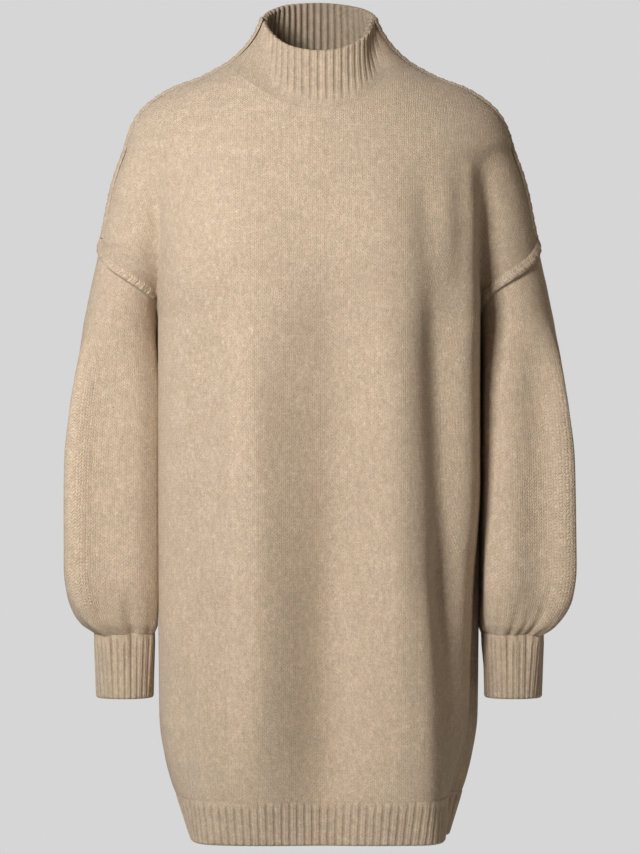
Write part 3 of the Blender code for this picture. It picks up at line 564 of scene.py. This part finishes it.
def edge_angle(z, face):
    """Angle round the arm at which the sleeve's section ends at the height z."""
    if z <= UNDERARM_Z:
        return math.pi
    if z <= CREASE_Z:
        return torso_meets_arm(z, face)[1]
    return float(armhole_angle(z))


def sleeve_tops(face, angles):
    """Heights at which columns at these angles round the arm leave the armhole seam."""
    z = np.concatenate([np.linspace(ARMHOLE_TOP_Z, CREASE_Z, 90),
                        np.linspace(CREASE_Z, UNDERARM_Z, 30)[1:]])
    edge = np.maximum.accumulate([edge_angle(height, face) for height in z])
    return np.interp(angles, edge, z)


def half_sleeve(side, face):
    """Points of a sleeve's front or back half, from its outside to under the arm, with the
    signed angle of each column."""
    angles = np.linspace(0, math.pi, SLEEVE_WALES * WALE_CUTS // 2 + 1)
    levels = np.concatenate([
        np.arange(ARMHOLE_TOP_Z, UNDERARM_Z, -3),
        np.arange(UNDERARM_Z, CUFF_TOP_Z, -4),
        [CUFF_TOP_Z],
    ])
    columns = []
    for z in levels:
        path = arm_outline(z, face)
        share = np.clip(angles / max(edge_angle(z, face), 1e-6), 0, 1)
        columns.append(along(path, share * measure(path)[-1]))
    tops = sleeve_tops(face, angles)
    shares = np.linspace(0, 1, SLEEVE_ROWS)
    shares = shares - 0.09 * np.sin(2 * math.pi * shares)       # closer at both ends
    z = tops + (CUFF_TOP_Z - tops) * shares[:, None]
    points = read_columns(np.array(columns), levels, z) * (side, SIGN[face])
    points[..., 1] += np.where(z < UNDERARM_Z, arm_size("middle", z), 0)
    return np.concatenate([points, z[..., None]], axis=2), -SIGN[face] * angles


def whole_sleeve(side):
    """A sleeve all round, from its outside over the front and under the arm to the back."""
    front, front_angles = half_sleeve(side, "front")
    back, back_angles = half_sleeve(side, "back")
    points = np.concatenate([front, back[:, -2:0:-1]], axis=1)
    z = points[..., 2]
    degrees = np.degrees(np.concatenate([front_angles, back_angles[-2:0:-1]]) + 0 * z)
    lift = fold_lift(SLEEVE_FOLDS, side, z, degrees) + gathers(side, degrees, z)
    points = points + grid_normals(points, closed=True) * side * lift[..., None]
    beyond = np.maximum(side * points[..., 0] - arm_size("outer", points[..., 2]) + SLEEVE_SPARE, 0)
    points[..., 0] -= side * (beyond - SLEEVE_SPARE * np.tanh(beyond / SLEEVE_SPARE))
    gap = np.interp(-points[0, :, 2], (-ARMHOLE_TOP_Z + 30, -CREASE_Z), (SEAM_GAP, CREASE_GAP))
    points[0] += gap[:, None] * unit(points[1] - points[0])
    return points, grid_normals(points, closed=True) * side


def sleeve_relief(points):
    down = from_edge(points, 0)
    return wale_relief(points) + dip(down, *ARMHOLE_GROOVE) + dip(down[-1] - down, *CUFF_GROOVE)


# ---- ribbed bands

def band_rows(count):
    """Shares of a band's depth for its rows, closer together at its free edge."""
    shares = np.linspace(0, 1, count)
    return shares + 0.5 * shares * (1 - shares)


# Folds of the collar, by the shares of the way round a half from -X to +X at which they
# meet its base and its rim: face, base, rim, width, rise
COLLAR_FOLDS = (
    ("front", 0.54,  0.6,   0.1, 2.5),
    ("front", 0.76, 0.92, 0.085,  -7),
    ("front",  0.2, 0.18,   0.1,  -2),
    ("back",   0.3, 0.27,   0.1,  -3),
    ("back",  0.66, 0.68,  0.12,   2),
)


def collar_half(face, base):
    """Collar from its base, a line of points along the neckline from -X to +X."""
    shares = np.linspace(0, 1, COLLAR_RIBS * COLLAR_CUTS + 1)
    foot = along(base, shares * measure(base)[-1])
    angle = math.pi * (shares - 0.5)
    rim = np.stack([RIM_HALF * np.sin(angle),
                    RIM_MIDDLE + SIGN[face] * RIM_DEEP * np.cos(angle),
                    RIM_SIDE_Z + RIM_RISE[face] * np.cos(angle)], axis=1)
    bend = rim + (foot - rim) * FLARE
    points = np.stack([(1 - t) ** 2 * foot + 2 * t * (1 - t) * bend + t * t * rim
                       for t in band_rows(COLLAR_ROWS)])
    normals = -SIGN[face] * grid_normals(points)
    high = np.linspace(0, 1, COLLAR_ROWS)[:, None]
    for own, low_share, high_share, width, rise in COLLAR_FOLDS:
        if own == face:
            across = (shares - low_share - (high_share - low_share) * high) / width
            lift = rise * np.sin(math.pi * high ** 0.8) ** 0.7 * np.exp(-across ** 2)
            points = points + normals * lift[..., None]
    normals = -SIGN[face] * grid_normals(points)
    for column in (0, -1):
        path = np.gradient(points[:, column], axis=0)
        side = np.cross(path, (0, 1, 0))
        normals[:, column] = unit(side * np.sign(side[:, :1] * points[:, column, :1]))
    return points, normals


def hem_half(face, top_points):
    """Ribbed hem under a body panel, whose lower edge is top_points."""
    shares = np.linspace(0, 1, HEM_RIBS * HEM_CUTS + 1)
    top = along(top_points, shares * measure(top_points)[-1])
    right, left = (panel_outline(HEM_Z, face, side) * (side, SIGN[face]) for side in (-1, 1))
    low = np.concatenate([right[:0:-1], left])
    low = along(low, shares * measure(low)[-1])
    low = np.concatenate([low, np.full((len(low), 1), HEM_Z)], axis=1)
    points = np.stack([top + (low - top) * t for t in band_rows(HEM_ROWS)])
    normals = grid_normals(points) * SIGN[face]
    normals[:, [0, -1], 1] = 0
    return points, unit(normals)


def cuff_rings(side, top_points):
    """Ribbed cuff under a sleeve, whose lower edge is the ring top_points."""
    shares = np.linspace(0, 1, CUFF_RIBS * CUFF_CUTS + 1)[:-1]
    ring = np.concatenate([top_points, top_points[:1]])
    top = along(ring, shares * measure(ring)[-1])
    centre = top_points.mean(axis=0)
    angle = np.unwrap(np.arctan2((top - centre)[:, 1], (top - centre)[:, 0]))
    middle, radius, deep, _ = arm_shape(CUFF_Z)
    low = np.stack([side * middle + radius * np.cos(angle),
                    arm_size("middle", CUFF_Z) + deep * np.sin(angle),
                    np.full_like(angle, CUFF_Z)], axis=1)
    points = np.stack([top + (low - top) * t for t in band_rows(CUFF_ROWS)])
    return points, grid_normals(points, closed=True) * side


def rib_profile(phase, groove, power):
    """1 on a rib and 0 in the valley beside it, with a groove between a rib's two legs."""
    rib = (0.5 - 0.5 * np.cos(2 * math.pi * phase)) ** power
    beside = (phase % 1 - 0.5) / RIB_GROOVE_WIDTH
    return rib - groove * np.exp(-beside ** 2)


def thinning(points, wall):
    """How far both faces of a band draw in near its last row, so that its edge is round."""
    up = from_edge(points[::-1], 0)[::-1]
    inside = np.clip(1 - up / (wall / 2), 0, 0.98)
    return wall / 2 * (1 - np.sqrt(1 - inside ** 2))


def band_faces(points, normals, phase, plain, start_share, start_depth, wall=WALL, back=RIB_BACK):
    """Outer and inner points of a ribbed band, and how far its ribs stand up: they grow from
    start_share of their height over start_depth, outside only past a plain part."""
    down = from_edge(points, 0)
    grown = start_share + (1 - start_share) * soft_step((down - plain) / start_depth)
    within = start_share + (1 - start_share) * soft_step(down / start_depth)
    drawn = thinning(points, wall)
    outer = (RIB_HEIGHT * rib_profile(phase, RIB_GROOVE, RIB_BROAD) - RIB_SINK) * grown - drawn
    inner = -wall - back * within * rib_profile(phase + 0.5, 0.0, RIB_NARROW) + drawn
    return points + normals * outer[..., None], points + normals * inner[..., None], grown


def upright_phase(points, ribs):
    """Ribs counted across a collar's half, as wide at its base as at its rim: the middle ones
    stand upright, and the outer ones run into the shoulder seam."""
    across = from_edge(points, 1)
    middle = points.shape[1] // 2
    return (across - across[:, middle:middle + 1]) * ribs / across[-1, -1] + ribs / 2


def band_ribs(points, ribs, cuts):
    """Ribs of a band counted across, one every cuts columns, and how far below its top each
    column's rib starts, uneven from rib to rib."""
    columns = np.arange(points.shape[1])
    starts = np.random.default_rng(7).uniform(0.0, 5.0, ribs + 1)
    return columns / cuts + 0 * points[..., 0], starts[np.minimum(columns // cuts, ribs)]


# ---- rolled seams

ROLL_STEP = 1.0
ROLL_ROUND = 16         # points round a rolled seam
ROLL_WALES = 6          # wales round it

# A rolled seam lies aside of its path by shifts, and its crown leans aside by shares of its
# half width, both given at each of ROLL_TURNS along it. curve is the radius of the cloth
# across the path, and ends are the lengths over which the roll narrows at its two ends.
ROLL_TURNS = (64.0, 84.0, 190.0, 290.0)
ROLLS = {
    "shoulder": {"width": 16.0, "height": 2.5, "curve": 36.0, "ends": (3.0, 0.0),
                 "shifts": (3.5, 3.5, 3.5, 7.0), "leans": (-0.3, 0.4, 0.4, 0.4)},
    "armhole": {"width": 13.0, "height": 3.1, "curve": 400.0, "ends": (8.0, 8.0),
                "shifts": (0.0,) * 4, "leans": (0.8,) * 4},
}


def rounded(values):
    """Values along a path with its corners rounded, its ends as they are."""
    return np.concatenate([values[:8], blurred(values, ROLL_STEP, 8, 3.0), values[-8:]])


def rolled_seam(kind, side, path, normals):
    """Rings of a rolled seam along a path over the cloth, and their places along it."""
    roll = ROLLS[kind]
    length = measure(path)
    at = np.linspace(0, length[-1], int(length[-1] / ROLL_STEP))
    normals = rounded(between_knots(normals, length, at))
    path = rounded(along(path, at))
    run = unit(np.gradient(path, axis=0))
    normals = unit(normals - run * (normals * run).sum(axis=1)[:, None])
    aside = np.cross(normals, run)
    size = np.ones(len(at))
    for distance, narrowing in zip((at, at[-1] - at), roll["ends"]):
        if narrowing:
            size *= np.sqrt(np.clip(0.02 + distance / narrowing, 0, 1))
    bumps = (1 + 0.08 * np.sin(at * 1.21 + 1.7 * np.sin(at / 19))
             + 0.12 * np.sin(at * 0.53 + np.sin(at / 31)))
    shift, lean = (-side * np.interp(at, ROLL_TURNS, roll[name]) for name in ("shifts", "leans"))
    rings = []
    for angle in np.linspace(0, 2 * math.pi, ROLL_ROUND, endpoint=False):
        across, up = math.cos(angle), math.sin(angle)
        crown = up ** 1.5 if up > 0 else -0.3 * abs(up)
        reach = (shift + roll["width"] / 2 * (across + lean * (1 - abs(across)) * max(up, 0))) * size
        rise = roll["height"] * crown * bumps * size - reach ** 2 / (2 * roll["curve"])
        rings.append(path + aside * reach[:, None] + normals * rise[:, None])
    return np.stack(rings, axis=1), at


# ---- meshes

def sheet_of(grid, closed):
    """A bmesh sheet whose vertices are numbered along the grid's rows."""
    rows, columns = grid.shape[:2]
    if closed:
        grid = np.concatenate([grid, grid[:, :1]], axis=1)
    wide = grid.shape[1]
    bm = bmesh.new()
    bmesh.ops.create_grid(bm, x_segments=wide - 1, y_segments=rows - 1, size=1)
    number = bm.verts.layers.int.new("number")
    numbers = (np.arange(rows)[:, None] * columns + np.arange(wide) % columns).ravel().tolist()
    for vert, point, own in zip(bm.verts, grid.reshape(-1, 3).tolist(), numbers):
        vert.co = point
        vert[number] = own
    if closed:
        bm.verts.ensure_lookup_table()
        doubles = {bm.verts[row * wide + columns]: bm.verts[row * wide] for row in range(rows)}
        bmesh.ops.weld_verts(bm, targetmap=doubles)
    return bm, number


def fetch(items, name):
    """A whole number of each item of a mesh."""
    values = np.empty(len(items), np.int32)
    items.foreach_get(name, values)
    return values


def lay_map(mesh, numbers, across, up, turn, inside):
    """Gives a mesh its map "knit": wales across and courses up at each numbered point
    [row, column]. The lining lies inside further across, and faces that close a tube reach
    on to turn."""
    columns = across.shape[1]
    lining, place = np.divmod(numbers[fetch(mesh.loops, "vertex_index")], across.size)
    row, column = np.divmod(place, columns)
    starts = fetch(mesh.polygons, "loop_start")
    spread = np.maximum.reduceat(column, starts) - np.minimum.reduceat(column, starts)
    closing = np.repeat(spread > columns / 2, fetch(mesh.polygons, "loop_total")) & (column == 0)
    place = np.stack([across[row, column] + closing * turn + lining * inside, up[row, column]], axis=1)
    mesh.uv_layers.new(name="knit").uv.foreach_set("vector", place.astype(np.float32).ravel())


def put_in_scene(name, data):
    """An object of its own for a mesh, a lamp or a lens."""
    thing = bpy.data.objects.new(name, data)
    bpy.context.scene.collection.objects.link(thing)
    return thing


def build_mesh(node, bm, across, up, turn, inside, slot, grown=None):
    """Gives a finished bmesh, in millimetres, its object, map, finish and place in the frame,
    where it stands for the node. grown is how far a band's ribs stand up at each point."""
    bmesh.ops.scale(bm, vec=(0.001, 0.001, 0.001), verts=bm.verts)
    bmesh.ops.recalc_face_normals(bm, faces=bm.faces)
    name = node + ("_rib" if slot == "rib_knit" else "_knit")
    mesh = bpy.data.meshes.new(name)
    bm.to_mesh(mesh)
    bm.free()
    numbers = fetch(mesh.attributes["number"].data, "value")
    mesh.attributes.remove(mesh.attributes["number"])
    # The point attribute lining marks the inside faces of the cloth, which the materials darken as
    # painted shade
    shares = {"lining": numbers // across.size}
    if grown is not None:
        shares["ribs"] = grown.ravel()[numbers % grown.size]
    for label, values in shares.items():
        layer = mesh.attributes.new(label, "FLOAT", "POINT")
        layer.data.foreach_set("value", values.astype(np.float32))
    lay_map(mesh, numbers, across, up, turn, inside)
    mesh.shade_smooth()
    mesh.set_sharp_from_angle(angle=math.radians(SMOOTH_ANGLE))
    mesh.materials.append(MATERIALS[slot])
    piece = put_in_scene(name, mesh)
    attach(piece, "root")
    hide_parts(node)
    return piece


def cloth_wall(node, outer, inner, across, up, slot, turn=0.0, inside=0.0, grown=None):
    """A closed wall between two grids of points, a tube where turn is given. Its lining's
    map lies inside further across."""
    bm, number = sheet_of(outer, closed=turn > 0)
    lining = bmesh.ops.extrude_face_region(bm, geom=bm.faces[:])
    flat = inner.reshape(-1, 3).tolist()
    for vert in (item for item in lining["geom"] if isinstance(item, bmesh.types.BMVert)):
        vert.co = flat[vert[number]]
        vert[number] += len(flat)
    return build_mesh(node, bm, across, up, turn, inside, slot, grown)


def tube(node, rings, across, up, turn, slot):
    """A closed tube through rings of points."""
    bm, _ = sheet_of(rings, closed=True)
    bmesh.ops.holes_fill(bm, edges=[edge for edge in bm.edges if edge.is_boundary], sides=0)
    return build_mesh(node, bm, across, up, turn, 0.0, slot)


# ---- materials

def plug(tree, socket, value):
    if isinstance(value, bpy.types.NodeSocket):
        tree.links.new(value, socket)
    else:
        socket.default_value = value


def add(tree, kind, inputs=(), **settings):
    """A shader node of this kind with its settings, and its inputs by name or number."""
    node = tree.nodes.new("ShaderNode" + kind)
    for name, value in settings.items():
        setattr(node, name, value)
    for name, value in dict(inputs).items():
        plug(tree, node.inputs[name], value)
    return node


def maths(tree, operation, *values):
    return add(tree, "Math", enumerate(values), operation=operation).outputs[0]


def sums(tree):
    """For values of this tree: a + b, a - b, a * b and a * b + c."""
    names = ("ADD", "SUBTRACT", "MULTIPLY", "MULTIPLY_ADD")
    return [functools.partial(maths, tree, name) for name in names]


def blend(tree, share, a, b, blend_type="MIX"):
    node = add(tree, "Mix", data_type="RGBA", blend_type=blend_type)
    for name, value in (("Factor", share), ("A", a), ("B", b)):
        plug(tree, next(s for s in node.inputs if s.name == name and s.enabled), value)
    return next(s for s in node.outputs if s.enabled)


def new_group(name, inputs, outputs):
    """An empty shader group with named sockets: the group, what goes in, what comes out."""
    group = bpy.data.node_groups.new(name, "ShaderNodeTree")
    for in_out, sockets in (("INPUT", inputs), ("OUTPUT", outputs)):
        for label, kind in sockets.items():
            group.interface.new_socket(label, in_out=in_out, socket_type="NodeSocket" + kind)
    start = group.nodes.new("NodeGroupInput")
    end = group.nodes.new("NodeGroupOutput")
    return group, start.outputs, end.inputs


def stitches_group():
    """Plain stitches: a V of two legs in each wale and course. Height is 1 on a leg's crown
    and 0 between legs, Tint a number of its own for each leg, and Fill the share of a wale
    that its stitches take up."""
    group, given, made = new_group(
        "stitches",
        {"Place": "Vector", "Slant": "Float", "Wander": "Float", "Fill": "Float"},
        {"Height": "Float", "Tint": "Float"},
    )
    calc = functools.partial(maths, group)
    plus, minus, times, scaled = sums(group)
    wavy = add(group, "TexNoise", {"Vector": given["Place"], "Scale": 0.45, "Detail": 1.0})
    shift = times(minus(wavy.outputs["Fac"], 0.5), given["Wander"])
    part = add(group, "SeparateXYZ", {"Vector": given["Place"]})
    across = plus(plus(part.outputs["X"], 0.5), times(shift, 0.35))
    beside = minus(calc("FRACT", across), 0.5)
    aside = calc("DIVIDE", calc("ABSOLUTE", beside), given["Fill"])
    course = plus(minus(part.outputs["Y"], times(aside, given["Slant"])), shift)
    turned = scaled(calc("FRACT", course), 2.0, -1.0)
    thick = calc("SQRT", minus(1.0, calc("POWER", calc("ABSOLUTE", turned), 2.6)))
    off = calc("DIVIDE", minus(aside, 0.25), 0.29)
    wide = calc("SQRT", calc("MAXIMUM", minus(1.0, times(off, off)), 0.0))
    plug(group, made["Height"], times(thick, wide))
    cell = add(group, "CombineXYZ", {
        "X": calc("FLOOR", across), "Y": calc("FLOOR", course), "Z": calc("SIGN", beside),
    })
    own = add(group, "TexWhiteNoise", {"Vector": cell.outputs[0]}, noise_dimensions="3D")
    plug(group, made["Tint"], own.outputs["Value"])
    return group


def wool_group():
    """Mixed oatmeal yarn and its loose fibres. Tint and Height come from the stitches; Hollow and Tone
    darken the colour as painted shade.
    """
    group, given, made = new_group(
        "mixed wool",
        {"Position": "Vector", "Place": "Vector", "Tint": "Float", "Height": "Float",
         "Body": "Color", "Cream": "Color", "Brown": "Color", "Hollow": "Float", "Tone": "Float"},
        {"Color": "Color", "Fuzz": "Float"},
    )
    plus, minus, times, scaled = sums(group)

    def noise(scale, detail, roughness=0.5, at=given["Position"]):
        return add(group, "TexNoise", {
            "Vector": at, "Scale": scale, "Detail": detail, "Roughness": roughness,
        }).outputs["Fac"]

    def between(value, low, high):
        ends = {"Value": value, "From Min": low, "From Max": high}
        return add(group, "MapRange", ends).outputs["Result"]

    fibres = noise(700.0, 3.0, 0.65)
    patches = noise(28.0, 2.0)
    clumps = noise(210.0, 2.0)
    tall = add(group, "VectorMath", {0: given["Place"], 1: STREAK_SCALE}, operation="MULTIPLY")
    streaks = noise(1.0, 2.0, 0.6, tall.outputs[0])
    light = plus(times(between(fibres, 0.5, 0.72), 0.55), times(between(clumps, 0.48, 0.70), 0.28))
    dark = plus(times(between(fibres, 0.48, 0.28), 0.50),
                times(between(given["Tint"], 0.82, 1.0), 0.22))
    colour = blend(group, light, given["Body"], given["Cream"])
    colour = blend(group, dark, colour, given["Brown"])
    uneven = plus(scaled(patches, 0.16, -0.08), scaled(streaks, 0.4, -0.2))
    even = plus(scaled(given["Tint"], 0.14, 0.93), uneven)
    hollow = given["Hollow"]
    # Painted shade: the colour darkens towards Hollow where the stitches are low, in the hollows
    # between the yarns
    deep = plus(hollow, times(minus(1.0, hollow), between(given["Height"], 0.05, 0.6)))
    shade = times(times(even, deep), given["Tone"])
    grey = add(group, "CombineColor", {"Red": shade, "Green": shade, "Blue": shade})
    plug(group, made["Color"], blend(group, 1.0, colour, grey.outputs[0], "MULTIPLY"))
    plug(group, made["Fuzz"], plus(times(fibres, 0.6), times(clumps, 0.4)))
    return group


# Finishes: how steep a stitch's legs stand, how far stitches stray, how much of a wale they
# fill, how deep they are in metres, how light their hollows are painted as shade, and the tone of
# the whole, lowered on ribs and rolled seams as painted shade
KNIT_COLUMNS = ("Slant", "Wander", "Fill", "depth", "Hollow", "tone")
KNITS = {
    "body_knit": (1.5, 1.4, 1.0, 0.0008, 0.8, 1.0),
    "sleeve_knit": (1.5, 1.4, 1.0, 0.0009, 0.8, 1.0),
    # Painted shade: ribs and rolled seams take a lower tone than the body for the shade they lie in
    "rib_knit": (1.3, 0.7, 0.66, 0.0008, 0.72, 0.93),
    "rolled_seam": (1.4, 1.4, 1.0, 0.001, 0.72, 0.93),
}
PLAIN_ENDS = {"Slant": 1.5, "Wander": 1.4, "Fill": 1.0}    # plain knit that ribs run out into
# Painted shade: the inside of the knit is darkened to this share of its outside
LINING_PAINTED_SHADE = 0.66      # of the inside of the knit, against its outside
FUZZ_DEPTH = 0.0012     # of the loose fibres, in metres
WOOL_GLOSS = {
    "Roughness": 0.95, "Specular IOR Level": 0.15,
    "Sheen Weight": 0.22, "Sheen Roughness": 0.6, "Sheen Tint": (1.0, 0.93, 0.82, 1.0),
}
BODY_WOOL = (0.585, 0.452, 0.325, 1.0)
CREAM_WOOL = (0.82, 0.71, 0.57, 1.0)
BROWN_WOOL = (0.33, 0.225, 0.135, 1.0)
STREAK_SCALE = (0.75, 0.24, 0.0)    # of streaks of light and dark yarn, in wales and courses


def knit_material(name, finish, stitches, wool):
    """A finish of the knit. Where ribs run out into plain knit, each turns into two wales."""
    material = bpy.data.materials.new(name)
    material.use_nodes = True
    tree = material.node_tree
    plus, minus, times, scaled = sums(tree)
    shader = tree.nodes["Principled BSDF"]
    place = add(tree, "UVMap", uv_map="knit").outputs["UV"]
    knit = add(tree, "Group", {"Place": place}, node_tree=stitches)
    for socket in ("Slant", "Wander", "Fill"):
        knit.inputs[socket].default_value = finish[socket]
    height, tint = knit.outputs["Height"], knit.outputs["Tint"]
    if finish["Fill"] < 1:
        ribs = add(tree, "Attribute", attribute_name="ribs").outputs["Fac"]
        double = add(tree, "VectorMath", {0: place, 1: (2.0, 1.0, 1.0)}, operation="MULTIPLY")
        plain = add(tree, "Group", {"Place": double.outputs[0], **PLAIN_ENDS}, node_tree=stitches)
        height, tint = (plus(times(ribs, one), times(minus(1.0, ribs), plain.outputs[label]))
                        for label, one in (("Height", height), ("Tint", tint)))
    # Painted shade: faces inside the knit, marked by the attribute lining, are darkened
    lining = add(tree, "Attribute", attribute_name="lining").outputs["Fac"]
    yarn = add(tree, "Group", {
        "Position": add(tree, "TexCoord").outputs["Object"], "Place": place,
        "Tint": tint, "Height": height, "Body": BODY_WOOL, "Cream": CREAM_WOOL, "Brown": BROWN_WOOL,
        "Hollow": finish["Hollow"],
        "Tone": scaled(lining, finish["tone"] * (LINING_PAINTED_SHADE - 1), finish["tone"]),
    }, node_tree=wool)
    raised = add(tree, "Bump", {"Height": height, "Distance": finish["depth"], "Strength": 1.0})
    fuzzy = add(tree, "Bump", {
        "Height": yarn.outputs["Fuzz"], "Distance": FUZZ_DEPTH, "Strength": 0.8,
        "Normal": raised.outputs["Normal"],
    })
    plug(tree, shader.inputs["Base Color"], yarn.outputs["Color"])
    plug(tree, shader.inputs["Normal"], fuzzy.outputs["Normal"])
    for socket, value in WOOL_GLOSS.items():
        shader.inputs[socket].default_value = value
    return material


def make_materials():
    stitches, wool = stitches_group(), wool_group()
    return {name: knit_material(name, dict(zip(KNIT_COLUMNS, finish)), stitches, wool)
            for name, finish in KNITS.items()}


# ---- pieces


def courses_up(points, course):
    """Courses of each point of a grid above its last row."""
    down = from_edge(points, 0)
    return (down[-1] - down) / course


def make_band(kind, where, band, phase, plain, held, rests_on, turn=0.0, knit_up=1):
    """A ribbed band from its points and normals. phase counts its ribs across, and knit_up is
    -1 where its courses run away from the body."""
    outer, inner, grown = band_faces(*band, phase, plain, **BAND_STARTS[kind])
    node = kind + "_" + where
    piece = cloth_wall(node, outer, inner, phase - 0.5, knit_up * courses_up(band[0], BAND_COURSE),
                       "rib_knit", turn, 0.5, grown)


def make_front_or_back(face):
    """A body panel with its half of the collar and of the hem."""
    points, normals, flats, on_seam = whole_panel(face)
    relief = panel_relief(points, on_seam, flats, face)
    body = cloth_wall(face + "_body", points + normals * relief[..., None], points - WALL * normals,
                      flats / WALE + 0 * relief, courses_up(points, COURSE), "body_knit")

    seam = np.flatnonzero(on_seam)
    middle = int(np.argmin(abs(flats)))
    corners = {-1: seam[seam < middle][-1], 1: seam[seam > middle][0]}
    collar = collar_half(face, points[0, corners[-1]:corners[1] + 1])
    across = np.linspace(-1, 1, collar[0].shape[1])
    plain = sum(depth * np.clip(side * across, 0, 1) ** power for side, depth, power in COLLAR_PLAIN)
    make_band("collar", face, collar, upright_phase(collar[0], COLLAR_RIBS), plain,
              "stretched", [body], knit_up=-1)
    hem = hem_half(face, points[-1])
    make_band("hem", face, hem, *band_ribs(hem[0], HEM_RIBS, HEM_CUTS), "hung", [body])
    return {"body": body, "points": points, "normals": normals, "corners": corners, "collar": collar}


def make_sleeve(name, side):
    points, normals = whole_sleeve(side)
    relief = sleeve_relief(points)
    sleeve = cloth_wall("sleeve_" + name, points + normals * relief[..., None], points - WALL * normals,
                        np.arange(points.shape[1]) / WALE_CUTS + 0 * relief,
                        courses_up(points, SLEEVE_COURSE), "sleeve_knit", turn=float(SLEEVE_WALES))
    cuff = cuff_rings(side, points[-1])
    make_band("cuff", name, cuff, *band_ribs(cuff[0], CUFF_RIBS, CUFF_CUTS), "gathered", [sleeve],
              turn=float(CUFF_RIBS))


def make_roll(kind, name, side, path, normals, bodies):
    rings, at = rolled_seam(kind, side, path, normals)
    across = np.arange(ROLL_ROUND) * ROLL_WALES / ROLL_ROUND + 0 * rings[..., 0]
    up = (at / COURSE)[:, None] + 0 * rings[..., 0]
    roll = tube("%s_roll_%s" % (kind, name), rings, across, up, float(ROLL_WALES), "rolled_seam")


def shoulder_line(side, front):
    """Points and normals of the shoulder seam, from the collar's rim to the armhole."""
    seam = slice(front["corners"][side], None, side)
    return [np.concatenate([collar[:0:-1, SIDE_COLUMN[side]], panel[0, seam]])
            for collar, panel in zip(front["collar"], (front["points"], front["normals"]))]


def armhole_line(side, panels):
    """The same of the armhole seam, from the crease in front to the one behind."""
    halves = []
    for panel in panels.values():
        points, normals = (panel[name][:, SIDE_COLUMN[side]] for name in ("points", "normals"))
        halves.append(np.concatenate([points, normals], axis=1)[points[:, 2] > ROLL_END_Z])
    rows = np.concatenate([halves[0][::-1], halves[1][1:]])
    return rows[:, :3], rows[:, 3:]


# ---- stage

CAMERA = Vector((0.00115, -4.0, -0.408))
CAMERA_ANGLE = 13.98        # degrees, from the picture's top to its bottom
FLOOR_Z = -1.62             # the floor under somebody who wears the dress
FLOOR_HALF = 4.0
AIM = Vector((0.0, 0.0, -0.1))
PAPER = 0.672               # brightness of the pale grey around the dress
AMBIENT = (0.095, 0.085, 0.074)     # light that comes from all round
LIGHTS = (      # name, place, width, height, power, colour
    ("key", (-1.08, -1.83, 0.40), 0.7, 0.7, 58.0, (1.0, 0.985, 0.965)),
    ("fill", (3.0, -1.6, 0.6), 1.4, 1.8, 10.0, (1.0, 0.86, 0.70)),
    ("back", (0.8, 3.0, 1.4), 2.2, 1.6, 45.0, (1.0, 0.93, 0.85)),
)


def make_light(name, place, width, height, power, colour):
    light = bpy.data.lights.new(name, "AREA")
    light.shape, light.size, light.size_y = "RECTANGLE", width, height
    light.energy, light.color = power, colour
    lamp = put_in_scene(name, light)
    lamp.location = place
    lamp.rotation_euler = (AIM - lamp.location).to_track_quat("-Z", "Y").to_euler()


def make_camera():
    lens = bpy.data.cameras.new("camera")
    lens.sensor_fit = "VERTICAL"
    lens.angle_y = math.radians(CAMERA_ANGLE)
    camera = put_in_scene("camera", lens)
    camera.location = CAMERA
    camera.rotation_euler = (math.pi / 2, 0, 0)
    bpy.context.scene.camera = camera


def make_floor():
    bm = bmesh.new()
    bmesh.ops.create_grid(bm, x_segments=1, y_segments=1, size=FLOOR_HALF)
    bmesh.ops.translate(bm, vec=(0, 0, FLOOR_Z), verts=bm.verts)
    mesh = bpy.data.meshes.new("floor")
    bm.to_mesh(mesh)
    bm.free()
    pale = bpy.data.materials.new("pale_floor")
    pale.use_nodes = True
    shader = pale.node_tree.nodes["Principled BSDF"]
    shader.inputs["Base Color"].default_value = (0.7, 0.7, 0.7, 1)
    shader.inputs["Roughness"].default_value = 0.9
    mesh.materials.append(pale)
    put_in_scene("floor", mesh)


def make_stage():
    scene = bpy.context.scene
    scene.view_settings.view_transform = "Standard"
    make_camera()
    make_floor()
    world = bpy.data.worlds.new("studio")
    scene.world = world
    world.use_nodes = True
    tree = world.node_tree
    seen = add(tree, "LightPath").outputs["Is Camera Ray"]
    surround = blend(tree, seen, (*AMBIENT, 1.0), (PAPER, PAPER, PAPER, 1.0))
    plug(tree, tree.nodes["Background"].inputs["Color"], surround)
    for light in LIGHTS:
        make_light(*light)


def main():
    panels = {face: make_front_or_back(face) for face in SIGN}
    bodies = [panel["body"] for panel in panels.values()]
    for side, name in ((1, "left"), (-1, "right")):
        make_sleeve(name, side)
        make_roll("shoulder", name, side, *shoulder_line(side, panels["front"]), bodies)
        make_roll("armhole", name, side, *armhole_line(side, panels), bodies)
    make_stage()


MATERIALS = make_materials()
main()
